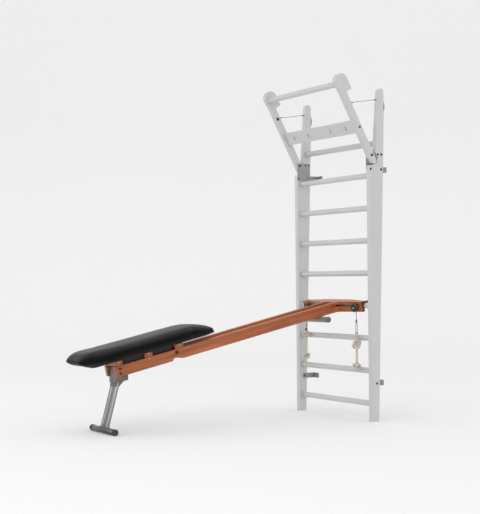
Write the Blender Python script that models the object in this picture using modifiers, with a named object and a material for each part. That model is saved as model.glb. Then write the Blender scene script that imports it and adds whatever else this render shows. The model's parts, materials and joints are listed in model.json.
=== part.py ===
"""Wall bars with a fold-out pull-up frame and a hook-on bench that carries a sliding padded seat.

Metres, +Z up. +Y points to the wall, X runs along the rungs. While the pieces are modelled, Y is
counted from the axis of the rungs; at the end the whole set is centred over its footprint.
"""
import bpy
import bmesh
from math import atan2, ceil, cos, pi, radians, sin, tan
from mathutils import Vector

GAP = 0.0003                    # left between pieces that touch
SIDE = (pi / 2, 0.0, pi / 2)    # turns a flat outline so that it runs in Y and Z, thick in X
ALONG_X = (0.0, pi / 2, 0.0)    # turns a lathe shape so that its axis runs along X
ALONG_Y = (-pi / 2, 0.0, 0.0)   # and along Y

# Uprights
HEIGHT = 2.160
HALF_WIDTH = 0.450
UPRIGHT_THICKNESS = 0.036
FRONT_Y = -0.035
FOOT_BACK_Y = 0.019
TOP_BACK_Y = 0.083
BACK_BEND_Z = HEIGHT - 0.190
SHOULDER_Z = HEIGHT - 0.501
POCKET_Y = 0.0255
POCKET_TOP_Z = HEIGHT - 0.445
NECK_Y = 0.0125
NECK_Z = HEIGHT - 0.415
TIP_FRONT_Y = 0.0435
TIP_RADIUS = 0.0203
BOARD_EDGE = 0.0035

# Rungs
RUNG_RADIUS = 0.0187
RUNG_COUNT = 9
LOWEST_RUNG_Z = 0.1126
SECOND_RUNG_Z = SHOULDER_Z - 0.0645
RUNG_PITCH = (SECOND_RUNG_Z - LOWEST_RUNG_Z) / (RUNG_COUNT - 2)
TOP_RUNG_Y = 0.046
HOOK_RUNG = 6
SEAT_DEPTH = 0.012

# Steel on the uprights
PLATE_THICKNESS = 0.004
PLATE_LOW_Z = SHOULDER_Z - 0.040
PLATE_HIGH_Z = SHOULDER_Z + 0.080
PLATE_FRONT_Y = -0.036
PLATE_BACK_Y = 0.066
STRAP_REACH = 0.0615
STRAP_HEIGHT = 0.035
STRAP_THICKNESS = 0.004
STRAP_FLANGE = 0.060
UPPER_STRAP_Z = SHOULDER_Z - 0.024
LOWER_STRAP_Z = 0.245
BOLT_HEAD_RADIUS = 0.0065
BOLT_HEAD_HEIGHT = 0.003

# Pull-up frame, in the frame of its arms: Y across an arm towards the wall, Z along it
PIVOT_Y = -0.0155
PIVOT_Z = SHOULDER_Z + 0.0654
ARM_TILT = radians(28.1)
ARM_FRONT = -0.0225
ARM_BACK = 0.0178
HEEL_REACH = 0.0595
HOOK_Z = 0.4425
HEAD_BACK = 0.063
HEAD_TOP = 0.566
HEAD_BULGE = -0.0265
BAR_Z = 0.510
BAR_Y = -0.004
BAR_RADIUS = 0.020
CROSSBOARD_LOW = 0.165
CROSSBOARD_HIGH = 0.252
CROSSBOARD_FRONT = -0.010
CROSSBOARD_THICKNESS = 0.022
SLOT_LENGTH = 0.028
SLOT_WIDTH = 0.012
SLOT_PLACES = (-0.310, -0.135, 0.135, 0.310)
PIVOT_BOLT_RADIUS = 0.005
STAY_ARM_Z = 0.367
STAY_UPRIGHT_Z = HEIGHT - 0.072
STAY_RADIUS = 0.0015
STAY_FERRULE_RADIUS = 0.0036
STAY_FERRULE_LENGTH = 0.020

# Bench, in its own frame: Y along the rails towards the wall, Z square to them, hook rung at the origin
BENCH_TILT = atan2(0.2252, 1.0)
BENCH_TOP = 0.0325
BENCH_BOTTOM = -0.0345
RAIL_WIDTH = 0.030
RAIL_GAP = 0.100
RAIL_FOOT_Y = -1.711
RAIL_EDGE = 0.006
YOKE_HALF_LENGTH = HALF_WIDTH - 0.105
YOKE_FRONT = -0.050
YOKE_END_FRONT = -0.0375
YOKE_TONGUE = -0.085
YOKE_BACK = 0.028
YOKE_END_BACK = -0.003
YOKE_FILLET = 0.030
YOKE_SLOT_LOW = 0.0015
YOKE_SLOT_HIGH = 0.0165
YOKE_EDGE = 0.003
HOOK_PLATE_THICKNESS = 0.004
HOOK_PLATE_BACK = 0.032
FOOT_BAR_Y = -0.1925
FOOT_BAR_Z = -0.0490
FOOT_BAR_RADIUS = 0.0188
CROSS_TUBE_HALF = 0.176
CAP_WIDTH = 0.018
CAP_STEP = 0.001
LOCK_BOLT = (0, -1.284, 0.013)
LOCK_RECESS_DEPTH = 0.008
TRACK_FOOT_Y = -1.590
TRACK_HEAD_Y = -0.100
TRACK_TOP = -0.005
TRACK_THICKNESS = 0.002
TRACK_LEDGE = 0.016
TRACK_DEPTH = 0.013

# Leg
LEG_PIVOT_Y = -1.6486
LEG_PIVOT_Z = -0.0466
LEG_FORWARD = 0.1206
T_FOOT_RADIUS = 0.0195
LEG_TUBE_RADIUS = 0.013
LEG_BASE_BACK = 0.003
LEG_STOP_Z = -0.038
LEG_STOP_Y = -0.0405
LEG_PIN_RADIUS = 0.005
BARREL_RADIUS = 0.010
BRACKET_SHEET = 0.003
BRACKET_WEB_Y = -1.656
BRACKET_BACK_Y = -1.575
LEG_CLEARANCE = 0.0017
LEG_TUBE_SPACING = RAIL_GAP - 2 * (GAP + BRACKET_SHEET + LEG_TUBE_RADIUS + LEG_CLEARANCE)

# Trolley and seat
BATTEN_FOOT_ENDS = (-1.705, -1.504, -1.289)
BATTEN_WIDTHS = (0.049, 0.056, 0.062)
BATTEN_TOP = 0.0620
BATTEN_CLEARANCE = 0.0010
KEEL_FOOT_Y = -1.595
KEEL_HEAD_Y = -1.225
KEEL_HALF_WIDTH = 0.028
KEEL_BOTTOM = 0.001
WHEEL_RADIUS = 0.012
WHEEL_WIDTH = 0.010
WHEEL_PLACES = (-1.560, -1.262)
AXLE_RADIUS = 0.003
PAD_BOARD_THICKNESS = 0.012
PAD_HALF_WIDTH = 0.165
PAD_FOOT_Y = -1.940
PAD_HEAD_Y = -0.998
PAD_CROWN = 0.074

# Pulleys and pull cords
CORD_RADIUS = 0.002
PULLEY_X = YOKE_HALF_LENGTH - 0.062
PULLEY_Z = -0.004
PULLEY_CORD_RADIUS = 0.0185
PULLEY_AXLE_RADIUS = 0.004
BLOCK_RADIUS = 0.028
BLOCK_DEPTH = 0.0242
BLOCK_CHEEK = 0.003
INNER_PULLEY_X = 0.033
INNER_PULLEY_Y = -0.040
INNER_CORD_RADIUS = 0.012
ROPE_RADIUS = 0.008

INNER_X = HALF_WIDTH - UPRIGHT_THICKNESS
PLATE_INNER_X = INNER_X - PLATE_THICKNESS
HOOK_RUNG_Z = LOWEST_RUNG_Z + (RUNG_COUNT - HOOK_RUNG) * RUNG_PITCH
GROOVE_RADIUS = RUNG_RADIUS + GAP
RAIL_INNER_X = RAIL_GAP / 2
RAIL_OUTER_X = RAIL_INNER_X + RAIL_WIDTH


def clear_scene():
    """Start from an empty file."""
    for old in list(bpy.data.objects):
        bpy.data.objects.remove(old, do_unlink=True)


def new_collection(name):
    made = bpy.data.collections.new(name)
    bpy.context.scene.collection.children.link(made)
    return made


clear_scene()
PARTS = new_collection("wall_bars")
CUTTERS = new_collection("cutters")


def finish(name, colour, roughness, metallic=0.0):
    """A Principled material in the piece's colour."""
    made = bpy.data.materials.new(name)
    made.use_nodes = True
    shader = made.node_tree.nodes["Principled BSDF"]
    shader.inputs["Base Color"].default_value = (*colour, 1.0)
    shader.inputs["Roughness"].default_value = roughness
    shader.inputs["Metallic"].default_value = metallic
    return made


WHITE_WOOD = finish("white_lacquered_wood", (0.72, 0.73, 0.71), 0.45)
RED_WOOD = finish("red_brown_wood", (0.33, 0.11, 0.05), 0.42)
PLYWOOD = finish("plywood", (0.42, 0.22, 0.11), 0.6)
LEATHERETTE = finish("black_leatherette", (0.012, 0.013, 0.013), 0.45)
GREY_STEEL = finish("grey_steel", (0.30, 0.30, 0.29), 0.38, 0.8)
BRIGHT_STEEL = finish("bright_steel", (0.55, 0.55, 0.54), 0.25, 1.0)
DARK_STEEL = finish("dark_steel", (0.05, 0.05, 0.05), 0.4, 0.7)
BLACK_PLASTIC = finish("black_plastic", (0.015, 0.015, 0.015), 0.4)
DARK_RUBBER = finish("dark_rubber", (0.04, 0.04, 0.04), 0.7)
BLACK_CORD = finish("black_cord", (0.02, 0.02, 0.02), 0.8)
COTTON = finish("cotton_rope", (0.70, 0.62, 0.48), 0.9)


def place(name, mesh, material, parent, location=(0, 0, 0), rotation=(0, 0, 0)):
    """Make the mesh an object of the model, placed in its parent's frame."""
    made = bpy.data.objects.new(name, mesh)
    PARTS.objects.link(made)
    made.parent = parent
    made.location = location
    made.rotation_euler = rotation
    if material:
        mesh.materials.clear()
        mesh.materials.append(material)
    return made


def hidden_tool(made):
    """Keep a cutter or a joined shape out of the model itself."""
    for holder in list(made.users_collection):
        holder.objects.unlink(made)
    CUTTERS.objects.link(made)
    made.hide_render = True
    made.display_type = "WIRE"
    return made


def pivot(name, parent=None, location=(0, 0, 0), rotation=(0, 0, 0)):
    """An empty that carries what turns or slides together."""
    made = bpy.data.objects.new(name, None)
    PARTS.objects.link(made)
    made.parent = parent
    made.location = location
    made.rotation_euler = rotation
    return made


def arc(centre, radius, start, end, steps):
    """Points on an arc, angles in radians."""
    points = []
    for i in range(steps + 1):
        angle = start + (end - start) * i / steps
        points.append((centre[0] + radius * cos(angle), centre[1] + radius * sin(angle)))
    return points


def rounded(corners, step=radians(22.5)):
    """Outline through the corners, each (x, y) or (x, y, fillet radius)."""
    points = []
    count = len(corners)
    for i, corner in enumerate(corners):
        here = Vector(corner[:2])
        radius = corner[2] if len(corner) > 2 else 0.0
        before = (Vector(corners[i - 1][:2]) - here).normalized()
        after = (Vector(corners[(i + 1) % count][:2]) - here).normalized()
        opening = before.angle(after)
        turn = pi - opening
        if radius < 1e-6 or turn < radians(0.5):
            points.append(tuple(here))
            continue
        centre = here + (before + after).normalized() * radius / sin(opening / 2)
        first = here + before * radius / tan(opening / 2) - centre
        side = 1.0 if before.x * after.y - before.y * after.x < 0 else -1.0
        start = atan2(first.y, first.x)
        steps = max(2, ceil(turn / step))
        points += arc(centre, radius, start, start + side * turn, steps)
    return points


def mesh_of(curve_object, join=0.00002):
    """The evaluated curve as a closed mesh; the curve object is removed."""
    bpy.context.view_layer.update()
    evaluated = curve_object.evaluated_get(bpy.context.evaluated_depsgraph_get())
    mesh = bpy.data.meshes.new_from_object(evaluated)
    shape = bmesh.new()
    shape.from_mesh(mesh)
    bmesh.ops.remove_doubles(shape, verts=shape.verts, dist=join)
    bmesh.ops.dissolve_limit(shape, angle_limit=radians(0.2), verts=shape.verts, edges=shape.edges)
    bmesh.ops.recalc_face_normals(shape, faces=shape.faces)
    shape.to_mesh(mesh)
    shape.free()
    bpy.data.objects.remove(curve_object, do_unlink=True)
    return mesh


def board_mesh(name, outlines, thickness):
    """A flat board from closed outlines; the second and later ones are holes."""
    curve = bpy.data.curves.new(name, "CURVE")
    curve.dimensions = "2D"
    curve.fill_mode = "BOTH"
    curve.extrude = thickness / 2
    for outline in outlines:
        spline = curve.splines.new("POLY")
        spline.points.add(len(outline) - 1)
        for point, (x, y) in zip(spline.points, outline):
            point.co = (x, y, 0.0, 1.0)
        spline.use_cyclic_u = True
    made = bpy.data.objects.new(name, curve)
    PARTS.objects.link(made)
    return mesh_of(made)


def bevelled(made, width, segments=2, angle=40):
    """Round the sharp edges."""
    modifier = made.modifiers.new("edges", "BEVEL")
    modifier.width = width
    modifier.segments = segments
    modifier.limit_method = "ANGLE"
    modifier.angle_limit = radians(angle)
    modifier.use_clamp_overlap = True
    return made


def board(name, outline, thickness, material, parent, location=(0, 0, 0), rotation=(0, 0, 0),
          edge=0.0, segments=1, holes=()):
    mesh = board_mesh(name, [outline, *holes], thickness)
    made = place(name, mesh, material, parent, location, rotation)
    if edge:
        bevelled(made, edge, segments)
    return made


def block_mesh(name, size):
    shape = bmesh.new()
    bmesh.ops.create_cube(shape, size=1.0)
    bmesh.ops.scale(shape, vec=size, verts=shape.verts)
    mesh = bpy.data.meshes.new(name)
    shape.to_mesh(mesh)
    shape.free()
    return mesh


def block(name, low, high, material, parent, edge=0.0, segments=2):
    """A box between two corners in the parent's frame."""
    size = [b - a for a, b in zip(low, high)]
    middle = [(a + b) / 2 for a, b in zip(low, high)]
    made = place(name, block_mesh(name, size), material, parent, middle)
    if edge:
        bevelled(made, edge, segments)
    return made


def turned(name, profile, material, parent, location=(0, 0, 0), rotation=(0, 0, 0), steps=24):
    """A lathe shape round its own Z: the profile is (radius, height), down the outer side.

    A profile that starts off the axis is closed along its bore.
    """
    mesh = bpy.data.meshes.new(name)
    points = [(radius, 0.0, height) for radius, height in profile]
    edges = [(i, i + 1) for i in range(len(points) - 1)]
    if profile[0][0] > 0:
        edges.append((len(points) - 1, 0))
    mesh.from_pydata(points, edges, [])
    made = place(name, mesh, material, parent, location, rotation)
    screw = made.modifiers.new("turn", "SCREW")
    screw.axis = "Z"
    screw.steps = steps
    screw.render_steps = steps
    screw.use_merge_vertices = True
    screw.merge_threshold = 0.00005
    screw.use_smooth_shade = True
    return made


def rod_profile(radius, length, chamfer=0.0):
    half = length / 2
    if not chamfer:
        return [(0.0, half), (radius, half), (radius, -half), (0.0, -half)]
    return [(0.0, half), (radius - chamfer, half), (radius, half - chamfer),
            (radius, chamfer - half), (radius - chamfer, -half), (0.0, -half)]


def cylinder_mesh(name, radius, length, sides=24):
    shape = bmesh.new()
    bmesh.ops.create_cone(shape, cap_ends=True, segments=sides, radius1=radius, radius2=radius,
                          depth=length)
    mesh = bpy.data.meshes.new(name)
    shape.to_mesh(mesh)
    shape.free()
    return mesh


def boring(name, radius, length, parent, location, rotation=ALONG_X, sides=24):
    """A hidden cylinder, to cut a hole or to be joined on."""
    made = place(name, cylinder_mesh(name, radius, length, sides), None, parent, location, rotation)
    return hidden_tool(made)


def combine(made, tool, operation="DIFFERENCE"):
    modifier = made.modifiers.new(operation.lower(), "BOOLEAN")
    modifier.operation = operation
    modifier.object = tool
    modifier.solver = "EXACT"
    return made


def tube_mesh(name, points, radius, resolution=3, radii=None):
    curve = bpy.data.curves.new(name, "CURVE")
    curve.dimensions = "3D"
    curve.bevel_depth = radius
    curve.bevel_resolution = resolution
    curve.use_fill_caps = True
    spline = curve.splines.new("POLY")
    spline.points.add(len(points) - 1)
    for i, point in enumerate(points):
        spline.points[i].co = (*point, 1.0)
        spline.points[i].radius = radii[i] if radii else 1.0
    made = bpy.data.objects.new(name, curve)
    PARTS.objects.link(made)
    return mesh_of(made)


def tube(name, points, radius, material, parent, resolution=3, radii=None):
    return place(name, tube_mesh(name, points, radius, resolution, radii), material, parent)


ROOT = pivot("wall_bars_stand")


def rung_place(number):
    """Y and Z of a rung, counted from the top; the top one sits back in the narrow part."""
    return (TOP_RUNG_Y if number == 1 else 0.0, LOWEST_RUNG_Z + (RUNG_COUNT - number) * RUNG_PITCH)


def sides():
    """The right side first: name, sign of X."""
    return (("right", 1), ("left", -1))


# Uprights: planks with a recess at the top for the pull-up frame's arms
def make_uprights():
    outline = rounded([
        (FRONT_Y, 0.0, 0.005), (FRONT_Y, SHOULDER_Z, 0.005), (POCKET_Y, SHOULDER_Z, 0.006),
        (POCKET_Y, POCKET_TOP_Z, 0.008), (NECK_Y, NECK_Z, 0.010),
        (TIP_FRONT_Y, HEIGHT, TIP_RADIUS), (TOP_BACK_Y, HEIGHT, TIP_RADIUS),
        (TOP_BACK_Y, BACK_BEND_Z, 0.080), (FOOT_BACK_Y, 0.0, 0.005)])
    reach = 2 * (INNER_X + SEAT_DEPTH)
    bores = [boring(f"bore_{n}", RUNG_RADIUS + GAP, reach, ROOT, (0, *rung_place(n)))
             for n in range(1, RUNG_COUNT + 1)]
    for side, sign in sides():
        x = sign * (HALF_WIDTH - UPRIGHT_THICKNESS / 2)
        upright = board(f"upright_{side}", outline, UPRIGHT_THICKNESS, WHITE_WOOD, ROOT,
                        (x, 0, 0), SIDE, BOARD_EDGE)
        for bore in bores:
            combine(upright, bore)


# Rungs: round bars seated in blind bores in the uprights
def make_rungs():
    length = 2 * (INNER_X + SEAT_DEPTH - GAP)
    for number in range(1, RUNG_COUNT + 1):
        turned(f"rung_{number}", rod_profile(RUNG_RADIUS, length), WHITE_WOOD, ROOT,
               (0, *rung_place(number)), ALONG_X)


# Pivot plates: flat steel over the joint between each upright and its arm
def make_pivot_plates():
    corner = 0.009
    outline = rounded([(PLATE_FRONT_Y, PLATE_LOW_Z, corner), (PLATE_BACK_Y, PLATE_LOW_Z, corner),
                       (PLATE_BACK_Y, PLATE_HIGH_Z, corner), (PLATE_FRONT_Y, PLATE_HIGH_Z, corner)])
    thickness = PLATE_THICKNESS - 2 * GAP
    hole = boring("pivot_plate_hole", PIVOT_BOLT_RADIUS + GAP, 2 * HALF_WIDTH, ROOT,
                  (0, PIVOT_Y, PIVOT_Z))
    for side, sign in sides():
        x = sign * (INNER_X - PLATE_THICKNESS / 2)
        plate = board(f"pivot_plate_{side}", outline, thickness, GREY_STEEL, ROOT, (x, 0, 0), SIDE,
                      edge=0.0006)
        combine(plate, hole)


# Wall brackets: straps with one leg on the upright and a flange against the wall
def back_edge_y(z):
    """Y of the back edge of an upright below its bend."""
    return FOOT_BACK_Y + (TOP_BACK_Y - FOOT_BACK_Y) * z / BACK_BEND_Z


def strap_outline(x_face, y_start, y_wall):
    """Plan of an angle strap whose leg lies against the plane at x_face, for the right side."""
    t = STRAP_THICKNESS
    inner = x_face - t
    flange_end = x_face - STRAP_FLANGE
    return rounded([
        (x_face, y_start), (x_face, y_wall, 0.006), (flange_end, y_wall), (flange_end, y_wall - t),
        (inner, y_wall - t, 0.002), (inner, y_start)])


def make_wall_brackets():
    places = (("upper", UPPER_STRAP_Z, PLATE_INNER_X, 0.040),
              ("lower", LOWER_STRAP_Z, INNER_X - GAP, -0.005))
    for level, z, x_face, y_start in places:
        outline = strap_outline(x_face, y_start, back_edge_y(z) + STRAP_REACH)
        for side, sign in sides():
            shape = outline if sign > 0 else [(-x, y) for x, y in outline][::-1]
            board(f"wall_bracket_{level}_{side}", shape, STRAP_HEIGHT, GREY_STEEL, ROOT, (0, 0, z),
                  edge=0.0008)


# Pivot bolts: the arms turn on them, and each runs through a plate and an arm
def make_pivot_bolts():
    for side, sign in sides():
        head = BOLT_HEAD_HEIGHT
        inner = PLATE_INNER_X
        outer = HALF_WIDTH
        profile = [(0.0, outer + GAP + head), (BOLT_HEAD_RADIUS * 0.7, outer + GAP + head),
                   (BOLT_HEAD_RADIUS, outer + GAP + head * 0.4), (BOLT_HEAD_RADIUS, outer + GAP),
                   (PIVOT_BOLT_RADIUS, outer + GAP), (PIVOT_BOLT_RADIUS, inner - GAP),
                   (BOLT_HEAD_RADIUS, inner - GAP), (BOLT_HEAD_RADIUS, inner - GAP - head * 0.6),
                   (BOLT_HEAD_RADIUS * 0.7, inner - GAP - head), (0.0, inner - GAP - head)]
        turned(f"pivot_bolt_{side}", profile, DARK_STEEL, ROOT, (0, PIVOT_Y, PIVOT_Z),
               (0.0, sign * pi / 2, 0.0), 12)


# Pull-up frame: two arms with hooked heads, a round bar and a slotted board between them
FOLD = pivot("pull_up_pivot", ROOT, (0, PIVOT_Y, PIVOT_Z), (ARM_TILT, 0, 0))


def make_arms():
    heel_radius = (ARM_BACK - ARM_FRONT) / 2 + 0.0008
    outline = rounded([
        (ARM_FRONT, -HEEL_REACH, heel_radius - 0.001), (ARM_BACK, -HEEL_REACH, heel_radius - 0.001),
        (ARM_BACK, HOOK_Z, 0.008), (HEAD_BACK, HOOK_Z, 0.005), (HEAD_BACK, HEAD_TOP, 0.044),
        (HEAD_BULGE, HEAD_TOP, 0.042), (HEAD_BULGE, 0.490, 0.020), (ARM_FRONT, 0.462, 0.030)],
        radians(18))
    bar_bore = boring("bar_bore", BAR_RADIUS + GAP, 2 * (INNER_X + SEAT_DEPTH), FOLD, (0, BAR_Y, BAR_Z))
    bolt_hole = boring("arm_bolt_hole", PIVOT_BOLT_RADIUS + GAP, 2 * HALF_WIDTH + 0.02, FOLD, (0, 0, 0))
    for side, sign in sides():
        x = sign * (HALF_WIDTH - UPRIGHT_THICKNESS / 2)
        arm = board(f"pull_up_arm_{side}", outline, UPRIGHT_THICKNESS, WHITE_WOOD, FOLD,
                    (x, 0, 0), SIDE, BOARD_EDGE)
        combine(arm, bar_bore)
        combine(arm, bolt_hole)


def make_pull_up_bar():
    length = 2 * (INNER_X + SEAT_DEPTH - GAP)
    turned("pull_up_bar", rod_profile(BAR_RADIUS, length), WHITE_WOOD, FOLD,
           (0, BAR_Y, BAR_Z), ALONG_X)


def make_crossboard():
    half = INNER_X - GAP
    middle_z = (CROSSBOARD_LOW + CROSSBOARD_HIGH) / 2
    low = CROSSBOARD_LOW - middle_z
    high = CROSSBOARD_HIGH - middle_z
    outline = rounded([(-half, low), (half, low), (half, high), (-half, high)])
    slots = []
    straight = (SLOT_LENGTH - SLOT_WIDTH) / 2
    radius = SLOT_WIDTH / 2
    for x in SLOT_PLACES:
        upper = arc((x, straight), radius, 0, pi, 6)
        lower = arc((x, -straight), radius, pi, 2 * pi, 6)
        slots.append(upper + lower)
    y = CROSSBOARD_FRONT + CROSSBOARD_THICKNESS / 2
    board("crossboard", outline, CROSSBOARD_THICKNESS, WHITE_WOOD, FOLD, (0, y, middle_z),
          (pi / 2, 0, 0), 0.002, holes=slots)


# Stay cables: thin steel cables that hold the arms out, from each arm to the top of its upright
def make_stay_cables():
    across = Vector((0, cos(ARM_TILT), sin(ARM_TILT)))
    along = Vector((0, -sin(ARM_TILT), cos(ARM_TILT)))
    start = Vector((0, PIVOT_Y, PIVOT_Z)) + along * STAY_ARM_Z + across * ARM_BACK
    slope = (TIP_FRONT_Y - NECK_Y) / (HEIGHT - NECK_Z)
    end = Vector((0, NECK_Y + slope * (STAY_UPRIGHT_Z - NECK_Z), STAY_UPRIGHT_Z))
    way = (end - start).normalized()
    start += way * 0.0011
    end -= way * 0.0006
    half = (end - start).length / 2
    angle = atan2(way.z, way.y)
    f0 = half - 0.004
    f1 = f0 - STAY_FERRULE_LENGTH
    upper = [(0.0, half), (STAY_RADIUS, half), (STAY_RADIUS, f0), (STAY_FERRULE_RADIUS, f0),
             (STAY_FERRULE_RADIUS, f1), (STAY_RADIUS, f1)]
    profile = upper + [(radius, -height) for radius, height in upper[::-1]]
    for side, sign in sides():
        middle = (start + end) / 2
        middle.x = sign * (HALF_WIDTH - UPRIGHT_THICKNESS / 2)
        turned(f"stay_cable_{side}", profile, DARK_STEEL, ROOT, middle, (angle - pi / 2, 0, 0), 10)


# Bench: two rails on a yoke that hooks over a rung
BENCH = pivot("bench_hook_axis", ROOT, (0, 0, HOOK_RUNG_Z), (BENCH_TILT, 0, 0))
YOKE_JOINT = YOKE_TONGUE - GAP


def make_rails():
    outline = rounded([
        (RAIL_FOOT_Y, BENCH_TOP), (RAIL_FOOT_Y, BENCH_BOTTOM), (-1.322, BENCH_BOTTOM, 0.0075),
        (-1.312, BENCH_BOTTOM + 0.014, 0.008), (-1.290, BENCH_BOTTOM + 0.014, 0.010),
        (-1.268, BENCH_BOTTOM + 0.006, 0.020), (-1.243, BENCH_BOTTOM, 0.020),
        (YOKE_JOINT, BENCH_BOTTOM), (YOKE_JOINT, BENCH_TOP)])
    saddle_radius = FOOT_BAR_RADIUS - CAP_STEP + GAP
    saddle = boring("foot_bar_saddle", saddle_radius, 0.3, BENCH, (0, FOOT_BAR_Y, FOOT_BAR_Z),
                    sides=16)
    recess = boring("lock_recess", 0.0095, 2 * RAIL_OUTER_X + 0.002, BENCH, LOCK_BOLT)
    core = boring("lock_recess_core", 0.020, 2 * (RAIL_OUTER_X - LOCK_RECESS_DEPTH), BENCH, LOCK_BOLT)
    combine(recess, core)
    for side, sign in sides():
        x = sign * (RAIL_INNER_X + RAIL_WIDTH / 2)
        rail = board(f"rail_{side}", outline, RAIL_WIDTH, RED_WOOD, BENCH, (x, 0, 0), SIDE,
                     RAIL_EDGE, 2)
        combine(rail, saddle)
        combine(rail, recess)


def yoke_front_half():
    """The yoke's front edge, from the middle to the right end, seen from above."""
    return [(RAIL_INNER_X, YOKE_FRONT, 0.010), (RAIL_INNER_X, YOKE_TONGUE),
            (RAIL_OUTER_X, YOKE_TONGUE), (RAIL_OUTER_X, YOKE_FRONT, YOKE_FILLET),
            (YOKE_HALF_LENGTH - 0.095, YOKE_END_FRONT, 0.060),
            (YOKE_HALF_LENGTH, YOKE_END_FRONT, 0.004)]


def mirrored_outline(half):
    """Close a half outline across X = 0; the half runs from front to back."""
    left = [(-corner[0], *corner[1:]) for corner in half[::-1]]
    return rounded(half + left)


def make_yoke():
    groove = boring("rung_groove", GROOVE_RADIUS, 0.8, BENCH, (0, 0, 0), sides=32)
    upper = mirrored_outline(yoke_front_half() + [
        (YOKE_HALF_LENGTH, YOKE_END_BACK, 0.004), (0.150, YOKE_BACK, 0.060)])
    thickness = BENCH_TOP - YOKE_SLOT_HIGH
    top = board("yoke_upper", upper, thickness, RED_WOOD, BENCH,
                (0, 0, YOKE_SLOT_HIGH + thickness / 2), edge=YOKE_EDGE)
    combine(top, groove)
    lower = mirrored_outline(yoke_front_half() + [(YOKE_HALF_LENGTH, -GROOVE_RADIUS, 0.003)])
    thickness = YOKE_SLOT_LOW - BENCH_BOTTOM
    base = board("yoke_lower", lower, thickness, RED_WOOD, BENCH,
                 (0, 0, BENCH_BOTTOM + thickness / 2), edge=YOKE_EDGE)
    for spacer in yoke_spacers():
        combine(base, spacer, "UNION")


def yoke_spacers():
    """Blocks glued on the lower layer that keep the slot open: beside the rails and at the ends."""
    low = YOKE_SLOT_LOW - 0.004
    high = YOKE_SLOT_HIGH - GAP
    middle = (low + high) / 2
    inset = YOKE_EDGE + 0.0012
    inner = RAIL_INNER_X + inset
    outer = RAIL_OUTER_X - inset
    root_half = [(inner, -0.045), (inner, YOKE_TONGUE + inset), (outer, YOKE_TONGUE + inset),
                 (outer, YOKE_FRONT, 0.022), (0.104, -0.045)]
    end = YOKE_HALF_LENGTH - inset
    start = end - 0.020
    front = YOKE_END_FRONT + inset
    back = -GROOVE_RADIUS - inset
    end_half = [(start, front), (end, front), (end, back), (start, back)]
    made = []
    for name, corners in (("root_spacer", root_half), ("end_spacer", end_half)):
        for side, sign in sides():
            shape = rounded([(sign * corner[0], *corner[1:]) for corner in corners])
            spacer = board(f"{name}_{side}", shape, high - low, RED_WOOD, BENCH, (0, 0, middle))
            made.append(hidden_tool(spacer))
    return made


def make_hook_plates():
    """Steel end plates of the yoke, each with a hook that drops over the rung."""
    front = YOKE_END_FRONT + 0.002
    high = BENCH_TOP - 0.001
    low = BENCH_BOTTOM + 0.001
    outline = rounded([
        (front, high, 0.006), (front, low, 0.004), (-GROOVE_RADIUS, low, 0.003),
        *arc((0, 0), GROOVE_RADIUS, pi, radians(-20), 14),
        (HOOK_PLATE_BACK, -0.010, 0.003), (HOOK_PLATE_BACK, high, 0.018)])
    for side, sign in sides():
        x = sign * (YOKE_HALF_LENGTH + GAP + HOOK_PLATE_THICKNESS / 2)
        board(f"hook_plate_{side}", outline, HOOK_PLATE_THICKNESS, DARK_STEEL, BENCH,
              (x, 0, 0), SIDE)


def cross_tube(name, radius, parent, location, material):
    """A round bar across the bench, with rounded end caps."""
    half = CROSS_TUBE_HALF
    bare = radius - CAP_STEP
    end = [(0.0, half), (radius - 0.005, half), (radius - 0.0015, half - 0.0015),
           (radius, half - 0.005), (radius, half - CAP_WIDTH), (bare, half - CAP_WIDTH)]
    profile = end + [(r, -x) for r, x in end[::-1]]
    return turned(name, profile, material, parent, location, ALONG_X, 16)


def make_foot_bar():
    cross_tube("foot_bar", FOOT_BAR_RADIUS, BENCH, (0, FOOT_BAR_Y, FOOT_BAR_Z), DARK_STEEL)


def make_tracks():
    """Aluminium angles on the inner faces of the rails, on which the trolley's wheels run."""
    outer = RAIL_INNER_X - GAP
    t = TRACK_THICKNESS
    low = TRACK_TOP - TRACK_DEPTH
    profile = [(outer, TRACK_TOP), (outer - TRACK_LEDGE, TRACK_TOP), (outer - TRACK_LEDGE, TRACK_TOP - t),
               (outer - t, TRACK_TOP - t), (outer - t, low), (outer, low)]
    length = TRACK_HEAD_Y - TRACK_FOOT_Y
    middle = (TRACK_HEAD_Y + TRACK_FOOT_Y) / 2
    for side, sign in sides():
        shape = [(sign * x, z) for x, z in profile]
        board(f"track_{side}", shape, length, BRIGHT_STEEL, BENCH, (0, middle, 0),
              (pi / 2, 0, 0))


def leg_world(point):
    """Y and Z, counted from the rung axis and the floor, of a point in the bench's frame."""
    y, z = point
    return (y * cos(BENCH_TILT) - z * sin(BENCH_TILT),
            HOOK_RUNG_Z + y * sin(BENCH_TILT) + z * cos(BENCH_TILT))


LEG_Y, LEG_Z = leg_world((LEG_PIVOT_Y, LEG_PIVOT_Z))
LEVEL = pivot("leg_bracket_level", BENCH, (0, LEG_PIVOT_Y, LEG_PIVOT_Z), (-BENCH_TILT, 0, 0))


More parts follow.
